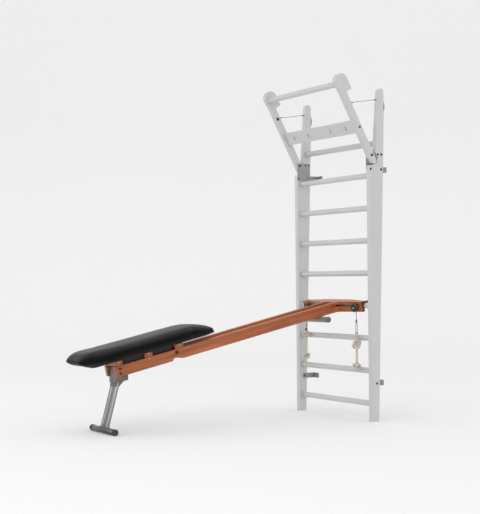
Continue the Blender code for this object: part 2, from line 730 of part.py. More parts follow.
def make_leg_bracket():
    """A sheet steel channel between the rail ends, with its web to the front."""
    half = RAIL_INNER_X - GAP
    web = BRACKET_WEB_Y - LEG_Y
    back = BRACKET_BACK_Y - LEG_Y
    outline = rounded([
        (web, -0.038, 0.004), (back, -0.020, 0.004), (back, 0.022, 0.006),
        (back - 0.030, 0.052, 0.010), (back - 0.050, 0.064, 0.008), (web, 0.064, 0.006)])
    bracket = board("leg_bracket", outline, 2 * half, GREY_STEEL, LEVEL, (0, 0, 0), SIDE)
    inside = half - BRACKET_SHEET
    low = (-inside, web + BRACKET_SHEET, -0.2)
    high = (inside, back + 0.1, 0.2)
    hollow = hidden_tool(block("bracket_hollow", low, high, None, LEVEL))
    pin_hole = boring("bracket_pin_hole", LEG_PIN_RADIUS + GAP, 0.3, LEVEL, (0, 0, 0), sides=16)
    combine(bracket, hollow)
    combine(bracket, pin_hole)


def make_leg_pin():
    inside = RAIL_INNER_X - GAP
    end = inside + GAP + 0.002
    head = 0.0075
    profile = [(0.0, end), (head - 0.0006, end), (head, end - 0.0006), (head, inside + GAP),
               (LEG_PIN_RADIUS, inside + GAP), (LEG_PIN_RADIUS, -inside - GAP), (head, -inside - GAP),
               (head, 0.0006 - end), (head - 0.0006, -end), (0.0, -end)]
    turned("leg_pin", profile, BRIGHT_STEEL, LEVEL, (0, 0, 0), ALONG_X, 12)


# Leg: two tubes on a T-foot, hinged in the bracket and folding up under the rails
LEG = pivot("leg_hinge", BENCH, (0, LEG_PIVOT_Y, LEG_PIVOT_Z), (-BENCH_TILT, 0, 0))


def make_leg():
    foot = Vector((0, -LEG_FORWARD, T_FOOT_RADIUS - LEG_Z))
    base = foot + Vector((0, LEG_BASE_BACK, 0))
    up = Vector((0, LEG_STOP_Y, LEG_STOP_Z)) - base
    lean = atan2(up.y, up.z)
    top = base + up * ((-0.006 - base.z) / up.z)
    frame = cross_tube("leg_frame", T_FOOT_RADIUS, LEG, foot, GREY_STEEL)
    for side, sign in sides():
        middle = (top + base) / 2 + Vector((sign * LEG_TUBE_SPACING / 2, 0, 0))
        mesh = cylinder_mesh("leg_tube", LEG_TUBE_RADIUS, (top - base).length, 14)
        leg_tube = place(f"leg_tube_{side}", mesh, None, LEG, middle, (-lean, 0, 0))
        combine(frame, hidden_tool(leg_tube), "UNION")
    axis_y = top.y
    ear = rounded([
        (0.012, -0.012, 0.011), (axis_y - 0.002, -0.060, 0.004), (axis_y - 0.022, -0.056, 0.006),
        (axis_y - 0.004, 0.004, 0.006), (-0.012, 0.012, 0.011), (0.012, 0.012, 0.011)])
    for side, sign in sides():
        x = sign * LEG_TUBE_SPACING / 2
        lug = board(f"leg_lug_{side}", ear, 0.016, None, LEG, (x, 0, 0), SIDE)
        combine(frame, hidden_tool(lug), "UNION")
    half = LEG_TUBE_SPACING / 2 + LEG_TUBE_RADIUS
    barrel = boring("leg_barrel", BARREL_RADIUS, 2 * (half - 0.001), LEG, (0, 0, 0), sides=16)
    combine(frame, barrel, "UNION")
    front = axis_y - 0.0255
    cross = block("leg_cross_plate", (0.001 - half, front, -0.060),
                  (half - 0.001, front + 0.016, -0.0395), None, LEG)
    combine(frame, hidden_tool(cross), "UNION")
    bore = boring("leg_bore", LEG_PIN_RADIUS + GAP, 0.3, LEG, (0, 0, 0), sides=16)
    combine(frame, bore)


# Trolley: battens and a keel that run along the rails, with the padded seat on top
TROLLEY = pivot("trolley_runner", BENCH)
BOARD_LOW = BATTEN_TOP + GAP
BOARD_HIGH = BOARD_LOW + PAD_BOARD_THICKNESS
PAD_LOW = BOARD_HIGH + GAP
WHEEL_Z = TRACK_TOP + GAP + WHEEL_RADIUS
BATTEN_LOW = BENCH_TOP + BATTEN_CLEARANCE


def make_battens():
    for name, foot_end, width in zip(("foot", "middle", "head"), BATTEN_FOOT_ENDS, BATTEN_WIDTHS):
        block(f"batten_{name}", (-RAIL_OUTER_X, foot_end, BATTEN_LOW),
              (RAIL_OUTER_X, foot_end + width, BATTEN_TOP), RED_WOOD, TROLLEY, 0.002)


def make_keel():
    keel = block("keel", (-KEEL_HALF_WIDTH, KEEL_FOOT_Y, KEEL_BOTTOM),
                 (KEEL_HALF_WIDTH, KEEL_HEAD_Y, BATTEN_LOW - GAP), RED_WOOD, TROLLEY, 0.002, 1)
    for number, y in enumerate(WHEEL_PLACES, 1):
        bore = boring(f"keel_bore_{number}", AXLE_RADIUS + GAP, 0.2, TROLLEY, (0, y, WHEEL_Z), sides=16)
        combine(keel, bore)


def make_wheel_sets():
    """An axle with a wheel on each end, turned as one piece."""
    inner = RAIL_INNER_X - 0.004 - WHEEL_WIDTH
    outer = inner + WHEEL_WIDTH
    half = [(0.0, outer), (WHEEL_RADIUS - 0.002, outer), (WHEEL_RADIUS, outer - 0.002),
            (WHEEL_RADIUS, inner + 0.001), (WHEEL_RADIUS - 0.001, inner), (0.006, inner),
            (0.006, KEEL_HALF_WIDTH + 0.001), (AXLE_RADIUS, KEEL_HALF_WIDTH + 0.001)]
    profile = half + [(radius, -x) for radius, x in half[::-1]]
    for number, y in enumerate(WHEEL_PLACES, 1):
        turned(f"wheel_set_{number}", profile, BLACK_PLASTIC, TROLLEY,
               (0, y, WHEEL_Z), ALONG_X, 12)


def make_pad_board():
    half = PAD_HALF_WIDTH - 0.018
    foot = PAD_FOOT_Y + 0.030
    head = PAD_HEAD_Y + 0.028
    outline = rounded([(-0.095, foot, 0.03), (0.095, foot, 0.03), (half, foot + 0.15, 0.10),
                       (half, head - 0.12, 0.10), (0.055, head, 0.03), (-0.055, head, 0.03),
                       (-half, head - 0.12, 0.10), (-half, foot + 0.15, 0.10)])
    board("pad_board", outline, PAD_BOARD_THICKNESS, PLYWOOD, TROLLEY,
          (0, 0, (BOARD_LOW + BOARD_HIGH) / 2), edge=0.001, segments=1)


def pad_stations():
    """Half width and crown height along the seat, foot end first: (y, half width, height)."""
    foot = PAD_FOOT_Y
    head = PAD_HEAD_Y
    wide = PAD_HALF_WIDTH
    crown = PAD_CROWN
    return ((foot + 0.004, 0.098, 0.030), (foot + 0.014, 0.118, 0.046), (foot + 0.040, 0.130, 0.059),
            (foot + 0.085, 0.144, 0.066), (foot + 0.150, 0.161, crown - 0.003),
            (foot + 0.215, wide, crown), (foot + 0.340, wide, crown + 0.001),
            (foot + 0.480, wide - 0.002, crown), (foot + 0.620, wide, crown + 0.001),
            (foot + 0.720, wide - 0.001, crown - 0.001), (head - 0.150, 0.158, 0.068),
            (head - 0.090, 0.135, 0.058), (head - 0.045, 0.110, 0.045), (head - 0.016, 0.090, 0.034),
            (head - 0.004, 0.072, 0.024))


def pad_ring(half_width, height):
    """Half of a cross-section of the seat, right side, from the middle of its base to its crown."""
    share = ((0.0, 0.0), (0.45, 0.0), (0.88, 0.0), (0.965, 0.06), (1.0, 0.26), (0.992, 0.48),
             (0.94, 0.70), (0.80, 0.87), (0.55, 0.965), (0.25, 0.995), (0.0, 1.0))
    return [(across * half_width, up * height) for across, up in share]


def make_pad():
    shape = bmesh.new()
    rings = []
    for y, half_width, height in pad_stations():
        right = pad_ring(half_width, height)
        left = [(-x, z) for x, z in right[-2:0:-1]]
        rings.append([shape.verts.new((x, y, PAD_LOW + z)) for x, z in right + left])
    for ring, following in zip(rings, rings[1:]):
        for i in range(len(ring)):
            j = (i + 1) % len(ring)
            shape.faces.new((ring[i], ring[j], following[j], following[i]))
    shape.faces.new(rings[0][::-1])
    shape.faces.new(rings[-1])
    bmesh.ops.recalc_face_normals(shape, faces=shape.faces)
    mesh = bpy.data.meshes.new("pad")
    shape.to_mesh(mesh)
    shape.free()
    mesh.shade_smooth()
    place("pad", mesh, LEATHERETTE, TROLLEY)


# Pulleys: two in blocks on the yoke's front, two flat ones in its slot
BLOCK_Y = YOKE_END_FRONT - GAP - BLOCK_DEPTH / 2
INNER_PULLEY_Z = (YOKE_SLOT_LOW + YOKE_SLOT_HIGH) / 2


def make_pulley_blocks():
    for side, sign in sides():
        centre = (sign * PULLEY_X, BLOCK_Y, PULLEY_Z)
        case = turned(f"pulley_block_{side}", rod_profile(BLOCK_RADIUS, BLOCK_DEPTH, 0.0015),
                      BLACK_PLASTIC, BENCH, centre, ALONG_Y)
        half_slot = BLOCK_DEPTH / 2 - BLOCK_CHEEK
        near, far = sorted((sign * (PULLEY_X - 0.0238), sign * (PULLEY_X + 0.040)))
        slot = block(f"block_slot_{side}", (near, BLOCK_Y - half_slot, PULLEY_Z - 0.05),
                     (far, BLOCK_Y + half_slot, PULLEY_Z + 0.05), None, BENCH)
        combine(case, hidden_tool(slot))
        axle = boring(f"block_axle_{side}", PULLEY_AXLE_RADIUS, BLOCK_DEPTH - 0.002, BENCH, centre,
                      ALONG_Y, 16)
        combine(case, axle, "UNION")


def make_pulley_wheels():
    half = BLOCK_DEPTH / 2 - BLOCK_CHEEK - 0.0008
    rim = PULLEY_CORD_RADIUS + 0.0040
    root = PULLEY_CORD_RADIUS - CORD_RADIUS - GAP
    bore = PULLEY_AXLE_RADIUS + GAP
    profile = [(bore, half), (rim, half), (rim, half - 0.0015), (root, 0.0022), (root, -0.0022),
               (rim, 0.0015 - half), (rim, -half), (bore, -half)]
    for side, sign in sides():
        turned(f"pulley_{side}", profile, BLACK_PLASTIC, BENCH,
               (sign * PULLEY_X, BLOCK_Y, PULLEY_Z), ALONG_Y, 16)


def make_inner_pulleys():
    half = 0.005
    rim = INNER_CORD_RADIUS + 0.0035
    root = INNER_CORD_RADIUS - CORD_RADIUS - GAP
    bore = AXLE_RADIUS + GAP
    profile = [(bore, half), (rim, half), (rim, half - 0.001), (root, 0.002), (root, -0.002),
               (rim, 0.001 - half), (rim, -half), (bore, -half)]
    for side, sign in sides():
        turned(f"inner_pulley_{side}", profile, BLACK_PLASTIC, BENCH,
               (sign * INNER_PULLEY_X, INNER_PULLEY_Y, INNER_PULLEY_Z), (0, 0, 0), 16)


# Cords: from the keel along the gap between the rails, through the yoke and over the outer pulleys
CORD_GAP_X = INNER_PULLEY_X - INNER_CORD_RADIUS
KEEL_CORD_Z = 0.020
HANG_X = PULLEY_X + PULLEY_CORD_RADIUS


def yoke_cord_route():
    """The right cord from the inner pulley's gap side, over the outer pulley, to where it hangs."""
    turn = arc((INNER_PULLEY_X, INNER_PULLEY_Y), INNER_CORD_RADIUS, pi, pi / 2, 6)
    around = [(x, y, INNER_PULLEY_Z) for x, y in turn]
    over = [(x, BLOCK_Y, z) for x, z in arc((PULLEY_X, PULLEY_Z), PULLEY_CORD_RADIUS, pi / 2, 0, 6)]
    start = Vector(around[-1])
    straight = [tuple(start.lerp(Vector(over[0]), share)) for share in (0.25, 0.5, 0.75)]
    return around + straight + over


def in_bench(y, z):
    """A point given by its Y from the rung axis and its height, in the bench's frame."""
    return (y * cos(BENCH_TILT) + (z - HOOK_RUNG_Z) * sin(BENCH_TILT),
            (z - HOOK_RUNG_Z) * cos(BENCH_TILT) - y * sin(BENCH_TILT))


def make_cords():
    """Each cord is one piece from the inner pulley to its end, and one along the gap to the keel."""
    for side, sign in sides():
        drop = CORD_LOW_Z[side] - PULLEY_AXIS_Z
        hang = [(HANG_X, *in_bench(HANG_Y, PULLEY_AXIS_Z + drop * share)) for share in (0.35, 1.0)]
        route = [(sign * x, y, z) for x, y, z in yoke_cord_route() + hang]
        tube(f"cord_{side}", route, CORD_RADIUS, BLACK_CORD, BENCH, 2)
        start = (sign * CORD_GAP_X, INNER_PULLEY_Y - GAP, INNER_PULLEY_Z)
        end = (sign * CORD_GAP_X, KEEL_HEAD_Y + GAP, KEEL_CORD_Z)
        tube(f"cord_run_{side}", [start, end], CORD_RADIUS, BLACK_CORD, BENCH, 2)


# Handles: knotted cotton ropes that hang from the cords
HANG_Y, PULLEY_AXIS_Z = leg_world((BLOCK_Y, PULLEY_Z))
CRIMP_Z = PULLEY_AXIS_Z - 0.0908
HOOK_BOTTOM_Z = CRIMP_Z - 0.079
HOOK_WIRE = 0.0032
HOOK_NARROW = 0.007
HOOK_WIDE = 0.011
EYE_RADIUS = 0.006
BALL_Z = HOOK_BOTTOM_Z - 0.0675
BALL_RADIUS = 0.030
TOGGLE_Z = PULLEY_AXIS_Z - 0.1593
TOGGLE_LENGTH = 0.016
CORD_LOW_Z = {"right": CRIMP_Z, "left": TOGGLE_Z + TOGGLE_LENGTH / 2 + GAP}
RIGHT_END_Z = BALL_Z - 0.1455
LEFT_KNOT_Z = TOGGLE_Z - 0.029
LEFT_END_Z = LEFT_KNOT_Z - 0.1545
HANGING = pivot("hanging_handles", BENCH,
                (0, -HOOK_RUNG_Z * sin(BENCH_TILT), -HOOK_RUNG_Z * cos(BENCH_TILT)), (-BENCH_TILT, 0, 0))


def hanging_tube(name, x, z_high, z_low, radius, material, resolution=2):
    ends = [(x, HANG_Y, z_high), (x, HANG_Y, z_low)]
    return tube(name, ends, radius, material, HANGING, resolution)


def knot(name, x, z, width, height):
    """A rope knot as a rounded lump."""
    shape = bmesh.new()
    bmesh.ops.create_uvsphere(shape, u_segments=14, v_segments=9, radius=1.0)
    bmesh.ops.scale(shape, vec=(width / 2, width / 2 * 0.88, height / 2), verts=shape.verts)
    mesh = bpy.data.meshes.new(name)
    shape.to_mesh(mesh)
    shape.free()
    return place(name, mesh, COTTON, HANGING, (x, HANG_Y, z))


def make_snap_hook(x):
    """A closed wire hook, narrow at the cord and wide at the rope."""
    high = CRIMP_Z - GAP - HOOK_WIRE
    low = HOOK_BOTTOM_Z + HOOK_WIRE
    loop = arc((x, high - HOOK_NARROW), HOOK_NARROW, 0, pi, 8)
    loop += arc((x, low + HOOK_WIDE), HOOK_WIDE, pi, 2 * pi, 10)
    curve = bpy.data.curves.new("snap_hook", "CURVE")
    curve.dimensions = "3D"
    curve.bevel_depth = HOOK_WIRE
    curve.bevel_resolution = 2
    spline = curve.splines.new("POLY")
    spline.points.add(len(loop) - 1)
    for point, (px, pz) in zip(spline.points, loop):
        point.co = (px, HANG_Y, pz, 1.0)
    spline.use_cyclic_u = True
    made = bpy.data.objects.new("snap_hook_wire", curve)
    PARTS.objects.link(made)
    place("snap_hook", mesh_of(made), BRIGHT_STEEL, HANGING)


def make_right_handle():
    x = HANG_X
    make_snap_hook(x)
    handle = knot("rope_handle_right", x, BALL_Z, 2 * BALL_RADIUS, 2 * BALL_RADIUS)
    eye = hanging_tube("rope_eye", x, HOOK_BOTTOM_Z - GAP, BALL_Z, EYE_RADIUS, COTTON)
    rope = hanging_tube("rope_right", x, BALL_Z, RIGHT_END_Z, ROPE_RADIUS, COTTON, 3)
    end = knot("rope_end_right", x, RIGHT_END_Z, 0.058, 0.046)
    for piece in (eye, rope, end):
        combine(handle, hidden_tool(piece), "UNION")


def make_left_handle():
    x = -HANG_X
    knot_half = TOGGLE_Z - TOGGLE_LENGTH / 2 - GAP - LEFT_KNOT_Z
    turned("cord_toggle", rod_profile(0.0075, TOGGLE_LENGTH, 0.002), BLACK_PLASTIC, HANGING,
           (x, HANG_Y, TOGGLE_Z), steps=16)
    handle = knot("rope_handle_left", x, LEFT_KNOT_Z, 0.050, 2 * knot_half)
    rope = hanging_tube("rope_left", x, LEFT_KNOT_Z, LEFT_END_Z, ROPE_RADIUS, COTTON, 3)
    end = knot("rope_end_left", x, LEFT_END_Z, 0.054, 0.044)
    for piece in (rope, end):
        combine(handle, hidden_tool(piece), "UNION")


def centre_over_footprint():
    """Move the whole set so that the origin is under the middle of its box."""
    bpy.context.view_layer.update()
    graph = bpy.context.evaluated_depsgraph_get()
    reach = []
    for piece in PARTS.objects:
        if piece.type == "MESH":
            evaluated = piece.evaluated_get(graph)
            mesh = evaluated.to_mesh()
            reach += [(evaluated.matrix_world @ vertex.co).y for vertex in mesh.vertices]
            evaluated.to_mesh_clear()
    ROOT.location.y = -(min(reach) + max(reach)) / 2


make_uprights()
make_rungs()
make_pivot_plates()
make_wall_brackets()
make_pivot_bolts()
make_arms()
make_pull_up_bar()
make_crossboard()
make_stay_cables()
make_rails()
make_yoke()
make_hook_plates()
make_foot_bar()
make_tracks()
make_leg_bracket()
make_leg_pin()
make_leg()
make_battens()
make_keel()
make_wheel_sets()
make_pad_board()
make_pad()
make_pulley_blocks()
make_pulley_wheels()
make_inner_pulleys()
make_cords()
make_right_handle()
make_left_handle()
centre_over_footprint()
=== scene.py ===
"""Looks of the wall bars with their pull-up frame, hook-on bench, sliding seat and rope handles.

Metres, +Z up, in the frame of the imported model: Y runs towards the wall, X along the rungs.
The pieces come in the order in which they would be put together.
"""

import json
from math import atan2, ceil, cos, pi, radians, sin, tan

import bmesh
import bpy
from mathutils import Matrix, Vector, noise


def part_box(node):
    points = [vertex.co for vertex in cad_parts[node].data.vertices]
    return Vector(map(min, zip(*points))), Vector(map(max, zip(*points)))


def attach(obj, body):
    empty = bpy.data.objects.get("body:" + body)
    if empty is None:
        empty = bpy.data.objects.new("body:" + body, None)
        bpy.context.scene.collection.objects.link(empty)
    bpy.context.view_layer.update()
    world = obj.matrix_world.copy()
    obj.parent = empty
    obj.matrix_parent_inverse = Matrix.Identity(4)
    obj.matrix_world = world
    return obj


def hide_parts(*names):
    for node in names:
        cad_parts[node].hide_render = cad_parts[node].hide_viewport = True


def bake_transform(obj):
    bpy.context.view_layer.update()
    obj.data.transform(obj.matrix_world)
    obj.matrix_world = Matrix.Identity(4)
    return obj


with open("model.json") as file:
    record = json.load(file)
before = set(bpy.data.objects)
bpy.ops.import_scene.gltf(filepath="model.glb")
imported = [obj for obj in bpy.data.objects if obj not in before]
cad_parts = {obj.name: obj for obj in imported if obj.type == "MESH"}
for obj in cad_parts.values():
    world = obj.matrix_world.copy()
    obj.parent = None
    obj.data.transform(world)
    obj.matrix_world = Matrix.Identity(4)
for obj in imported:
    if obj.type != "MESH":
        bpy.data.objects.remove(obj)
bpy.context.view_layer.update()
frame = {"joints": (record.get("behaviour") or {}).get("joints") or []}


# Uprights: two beech planks under a pale lacquer that lets only a breath of grain through.
# They lean back at the tip and have a recess in front for the round ends of the arms.
# Blind bores in their inner faces take the rungs.
JOINTS = {joint["name"]: joint for joint in frame["joints"]}
HOOK = Vector(JOINTS["bench_tilt"]["pos_m"])
STAND = Matrix.Translation((0, HOOK.y, 0))
SIDEWAYS = Matrix.Rotation(pi / 2, 4, "Z") @ Matrix.Rotation(pi / 2, 4, "X")
ALONG_X = Matrix.Rotation(pi / 2, 4, "Y")
SIDES = (("right", 1), ("left", -1))
INNER_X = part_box("upright_right")[0].x
HALF_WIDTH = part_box("upright_right")[1].x
THICKNESS = HALF_WIDTH - INNER_X
MIDDLE_X = (HALF_WIDTH + INNER_X) / 2
FRONT_Y = -0.035
HEIGHT = 2.160
THROAT = Vector((0.0125, 1.745))
TIP = Vector((0.0435, HEIGHT))
TIP_BACK = 0.083
RUNGS = range(1, 10)
RUNG_RADIUS = (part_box("rung_6")[1].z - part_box("rung_6")[0].z) / 2
SEAT_DEPTH = 0.012
GAP = 0.0003


class Shade:
    """The value of a node's socket; sums and products of it are Math nodes."""

    def __init__(self, nodes, socket):
        self.nodes = nodes
        self.socket = socket

    def math(self, operation, *others):
        return self.nodes.add("ShaderNodeMath", 0, dict(enumerate((self, *others))), operation=operation)

    def __add__(self, other):
        return self.math("ADD", other)

    def __mul__(self, other):
        return self.math("MULTIPLY", other)

    __radd__ = __add__
    __rmul__ = __mul__

    def ramp(self, low, high, to_low=0.0, to_high=1.0):
        ends = {"From Min": low, "From Max": high, "To Min": to_low, "To Max": to_high}
        return self.nodes.add("ShaderNodeMapRange", "Result", {"Value": self, **ends})


class Nodes:
    """A node tree that any node is added to: its settings first, then the value or link of each socket."""

    def __init__(self, tree):
        self.tree = tree

    def add(self, kind, output, inputs, **settings):
        node = self.tree.nodes.new(kind)
        for name, value in settings.items():
            setattr(node, name, value)
        for slot, value in inputs.items():
            self.give(node, slot, value)
        return Shade(self, node.outputs[output])

    def give(self, node, slot, value):
        if isinstance(value, Shade):
            self.tree.links.new(value.socket, node.inputs[slot])
        else:
            node.inputs[slot].default_value = value


class Finish(Nodes):
    """A Principled material whose patterns follow Object coordinates. Its slot argument is not used."""

    def __init__(self, name, slot, turn=0.0):
        self.material = bpy.data.materials.new(name)
        self.material.use_nodes = True
        super().__init__(self.material.node_tree)
        here = self.add("ShaderNodeTexCoord", "Object", {})
        self.place = self.add("ShaderNodeMapping", "Vector", {"Vector": here, "Rotation": (turn, 0, 0)})

    def set(self, name, value):
        self.give(self.tree.nodes["Principled BSDF"], name, value)

    def noise(self, scale, stretch=(1, 1, 1), detail=3.0, roughness=0.5, distortion=0.0):
        place = self.add("ShaderNodeVectorMath", 0, {0: self.place, 1: stretch}, operation="MULTIPLY")
        return self.add("ShaderNodeTexNoise", 0, {"Vector": place, "Scale": scale, "Detail": detail,
                                                  "Roughness": roughness, "Distortion": distortion})

    def cells(self, scale, feature="F1"):
        return self.add("ShaderNodeTexVoronoi", "Distance", {"Vector": self.place, "Scale": scale},
                        feature=feature)

    def mix(self, factor, first, second):
        """A colour between two, which a Mix node takes in sockets 6 and 7 and gives in output 2."""
        first, second = (tone if isinstance(tone, Shade) else (*tone, 1.0) for tone in (first, second))
        return self.add("ShaderNodeMix", 2, {0: factor, 6: first, 7: second}, data_type="RGBA")

    def bump(self, height, strength, distance):
        self.set("Normal", self.add("ShaderNodeBump", "Normal",
                                    {"Height": height, "Strength": strength, "Distance": distance}))


def white_wood(name, stretch):
    made = Finish(name, "white_lacquered_wood")
    grain = made.noise(1.0, stretch, 5, 0.6, 0.4)
    cloud = made.noise(2.2, (1, 1, 1), 2)
    pale = made.mix(grain.ramp(0.35, 0.7), (0.505, 0.516, 0.516), (0.568, 0.578, 0.575))
    made.set("Base Color", made.mix(cloud.ramp(0.3, 0.8), pale, (0.520, 0.525, 0.515)))
    made.set("Roughness", grain.ramp(0.3, 0.7, 0.36, 0.5))
    made.bump(grain, 0.12, 0.0004)
    made.set("Coat Weight", 0.15)
    return made.material


def at(x, y, z):
    return Matrix.Translation((x, y, z))


def centre_of(node):
    low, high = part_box(node)
    return (low + high) / 2


def arc(centre, radius, start, end, steps):
    """Points on an arc, angles in radians."""
    return [(centre[0] + radius * cos(start + (end - start) * i / steps),
             centre[1] + radius * sin(start + (end - start) * i / steps)) for i in range(steps + 1)]


def rounded(corners, step=radians(9)):
    """Outline through the corners, each (x, y) or (x, y, fillet radius)."""
    points = []
    count = len(corners)
    for i, corner in enumerate(corners):
        here = Vector(corner[:2])
        radius = corner[2] if len(corner) > 2 else 0.0
        before = (Vector(corners[i - 1][:2]) - here).normalized()
        after = (Vector(corners[(i + 1) % count][:2]) - here).normalized()
        opening = before.angle(after)
        turn = pi - opening
        if radius < 1e-6 or turn < radians(0.5):
            points.append(tuple(here))
            continue
        centre = here + (before + after).normalized() * radius / sin(opening / 2)
        first = here + before * radius / tan(opening / 2) - centre
        side = 1.0 if before.x * after.y - before.y * after.x < 0 else -1.0
        start = atan2(first.y, first.x)
        points += arc(centre, radius, start, start + side * turn, max(2, ceil(turn / step)))
    return points


def link(name, data):
    made = bpy.data.objects.new(name, data)
    bpy.context.scene.collection.objects.link(made)
    return made


def evaluated_mesh(made):
    bpy.context.view_layer.update()
    graph = bpy.context.evaluated_depsgraph_get()
    return bpy.data.meshes.new_from_object(made.evaluated_get(graph), depsgraph=graph)


def finished(shape, outward=True):
    """The mesh of a finished form, its faces turned outwards."""
    if outward:
        bmesh.ops.recalc_face_normals(shape, faces=shape.faces)
    mesh = bpy.data.meshes.new("form")
    shape.to_mesh(mesh)
    shape.free()
    return mesh


def board(outlines, thickness):
    """A flat board from closed outlines, the later ones being holes."""
    curve = bpy.data.curves.new("board", "CURVE")
    curve.dimensions = "2D"
    curve.fill_mode = "BOTH"
    curve.extrude = thickness / 2
    for outline in outlines:
        spline = curve.splines.new("POLY")
        spline.points.add(len(outline) - 1)
        for point, (x, y) in zip(spline.points, outline):
            point.co = (x, y, 0.0, 1.0)
        spline.use_cyclic_u = True
    flat = link("board", curve)
    shape = bmesh.new()
    shape.from_mesh(evaluated_mesh(flat))
    bpy.data.objects.remove(flat)
    bmesh.ops.remove_doubles(shape, verts=shape.verts, dist=0.00002)
    bmesh.ops.dissolve_limit(shape, angle_limit=radians(0.2), verts=shape.verts, edges=shape.edges)
    return finished(shape)


def lathe(profile, steps=64):
    """A turned solid round Z: (radius, height) down the outer side, closed along a bore if it has one."""
    shape = bmesh.new()
    rings = []
    for radius, height in profile:
        if radius < 1e-7:
            rings.append([shape.verts.new((0, 0, height))])
        else:
            rings.append([shape.verts.new((radius * cos(2 * pi * i / steps), radius * sin(2 * pi * i / steps),
                                           height)) for i in range(steps)])
    pairs = list(zip(rings, rings[1:]))
    if profile[0][0] > 1e-7:
        pairs.append((rings[-1], rings[0]))
    for upper, lower in pairs:
        for i in range(steps):
            j = (i + 1) % steps
            corners = dict.fromkeys((upper[i % len(upper)], lower[i % len(lower)],
                                     lower[j % len(lower)], upper[j % len(upper)]))
            if len(corners) > 2:
                shape.faces.new(list(corners))
    return finished(shape)


def doubled(upper):
    """A whole profile from its upper half, the lower half being its mirror image."""
    return upper + [(radius, -height) for radius, height in upper[::-1]]


def moved(mesh, matrix):
    mesh.transform(matrix)
    return mesh


def drill(radius, length, matrix=ALONG_X):
    """A cutter for a round hole, along X unless it is turned."""
    return moved(lathe(doubled([(0.0, length / 2), (radius, length / 2)]), 40), matrix)


def plank(outline, thickness, x):
    """A flat outline in (Y, Z), stood up across X."""
    return moved(board([outline], thickness), at(x, 0, 0) @ SIDEWAYS)


def piece(name, mesh, material, body, *nodes, matrix=Matrix(), slot=None, edge=0.0, segments=3, cuts=(),
          joins=(), sharp=32):
    """A finished piece at the origin: joined, cut, its edges rounded, riding on its body if one is named."""
    made = link(name, mesh)
    tools = [("UNION", link("tool", tool)) for tool in joins]
    tools += [("DIFFERENCE", link("tool", tool)) for tool in cuts]
    for operation, tool in tools:
        modifier = made.modifiers.new("cut", "BOOLEAN")
        modifier.operation = operation
        modifier.object = tool
        modifier.solver = "EXACT"
    if edge:
        bevel = made.modifiers.new("edges", "BEVEL")
        bevel.width = edge
        bevel.segments = segments
        bevel.limit_method = "ANGLE"
        bevel.angle_limit = radians(38)
        bevel.use_clamp_overlap = True
    final = evaluated_mesh(made) if made.modifiers else mesh
    made.modifiers.clear()
    made.data = final
    for operation, tool in tools:
        bpy.data.objects.remove(tool)
    final.name = name
    final.transform(matrix)
    final.materials.clear()
    final.materials.append(material)
    final.shade_smooth()
    final.set_sharp_from_angle(angle=radians(sharp))
    if edge:
        made.modifiers.new("shading", "WEIGHTED_NORMAL").keep_sharp = True
    if body:
        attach(made, body)
    if nodes:
        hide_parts(*nodes)
    return made


WHITE_WOOD = white_wood("white_lacquered_wood", (240, 240, 6))
RECESS = arc((-0.0155, 1.7244), 0.0612, radians(-72), radians(-48), 8)
UPRIGHT_OUTLINE = rounded([
    (FRONT_Y, 0.0, 0.005), (FRONT_Y, 1.659, 0.005), (-0.004, 1.659, 0.010), *RECESS, (0.0255, 1.715, 0.008),
    (*THROAT, 0.010), (*TIP, 0.0203), (TIP_BACK, HEIGHT, 0.0203), (TIP_BACK, 1.970, 0.080),
    (0.019, 0.0, 0.005)])

for side, sign in SIDES:
    bores = []
    for number in RUNGS:
        centre = centre_of(f"rung_{number}")
        bores.append(drill(RUNG_RADIUS + GAP, 2 * SEAT_DEPTH,
                           at(sign * INNER_X, centre.y - HOOK.y, centre.z) @ ALONG_X))
    upright = plank(UPRIGHT_OUTLINE, THICKNESS, sign * MIDDLE_X)
    piece(f"upright_plank_{side}", upright, WHITE_WOOD, "wall_bars", f"upright_{side}", matrix=STAND,
          edge=0.0050, segments=4, cuts=bores)


# Rungs: nine turned beech bars with softened ends, under the same lacquer as the uprights.
# Their grain runs along them, and each end sits in a blind bore.
WHITE_WOOD_ACROSS = white_wood("white_lacquered_wood_across", (6, 240, 240))


def rod(radius, length, edge=0.001):
    """Profile of a round bar with softened ends."""
    half = length / 2
    return doubled([(0.0, half), (radius - edge, half), (radius - edge * 0.3, half - edge * 0.3),
                    (radius, half - edge)])


def round_bar(name, radius, body, node):
    low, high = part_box(node)
    piece(name, lathe(rod(radius, high.x - low.x), 72), WHITE_WOOD_ACROSS, body, node,
          matrix=at(*(low + high) / 2) @ ALONG_X)


for number in RUNGS:
    round_bar(f"rung_bar_{number}", RUNG_RADIUS, "wall_bars", f"rung_{number}")


# Pivot plates: rectangles of grey painted sheet steel with round corners.
# One is bolted over the inner face of each upright, beside the joint of the pull-up arm.
PLATE_STEEL = 0.0034
PLATE_X = INNER_X - GAP - PLATE_STEEL / 2
PLATE_FRONT = -0.036
PLATE_BACK = 0.066
PLATE_LOW = 1.619
PLATE_HIGH = 1.739


def metal(name, slot, colour, roughness, metallic, stretch=(60, 60, 60), worn=0.12):
    """Painted, plated or bare metal with a faint cloudiness."""
    made = Finish(name, slot)
    cloud = made.noise(1.0, stretch, 4, 0.6)
    light = tuple(share * (1 + worn) for share in colour)
    dark = tuple(share * (1 - worn) for share in colour)
    made.set("Base Color", made.mix(cloud.ramp(0.3, 0.7), dark, light))
    made.set("Roughness", cloud.ramp(0.25, 0.75, roughness - 0.08, roughness + 0.10))
    made.set("Metallic", metallic)
    made.bump(made.noise(900.0, (1, 1, 1), 2), 0.06, 0.0002)
    return made.material


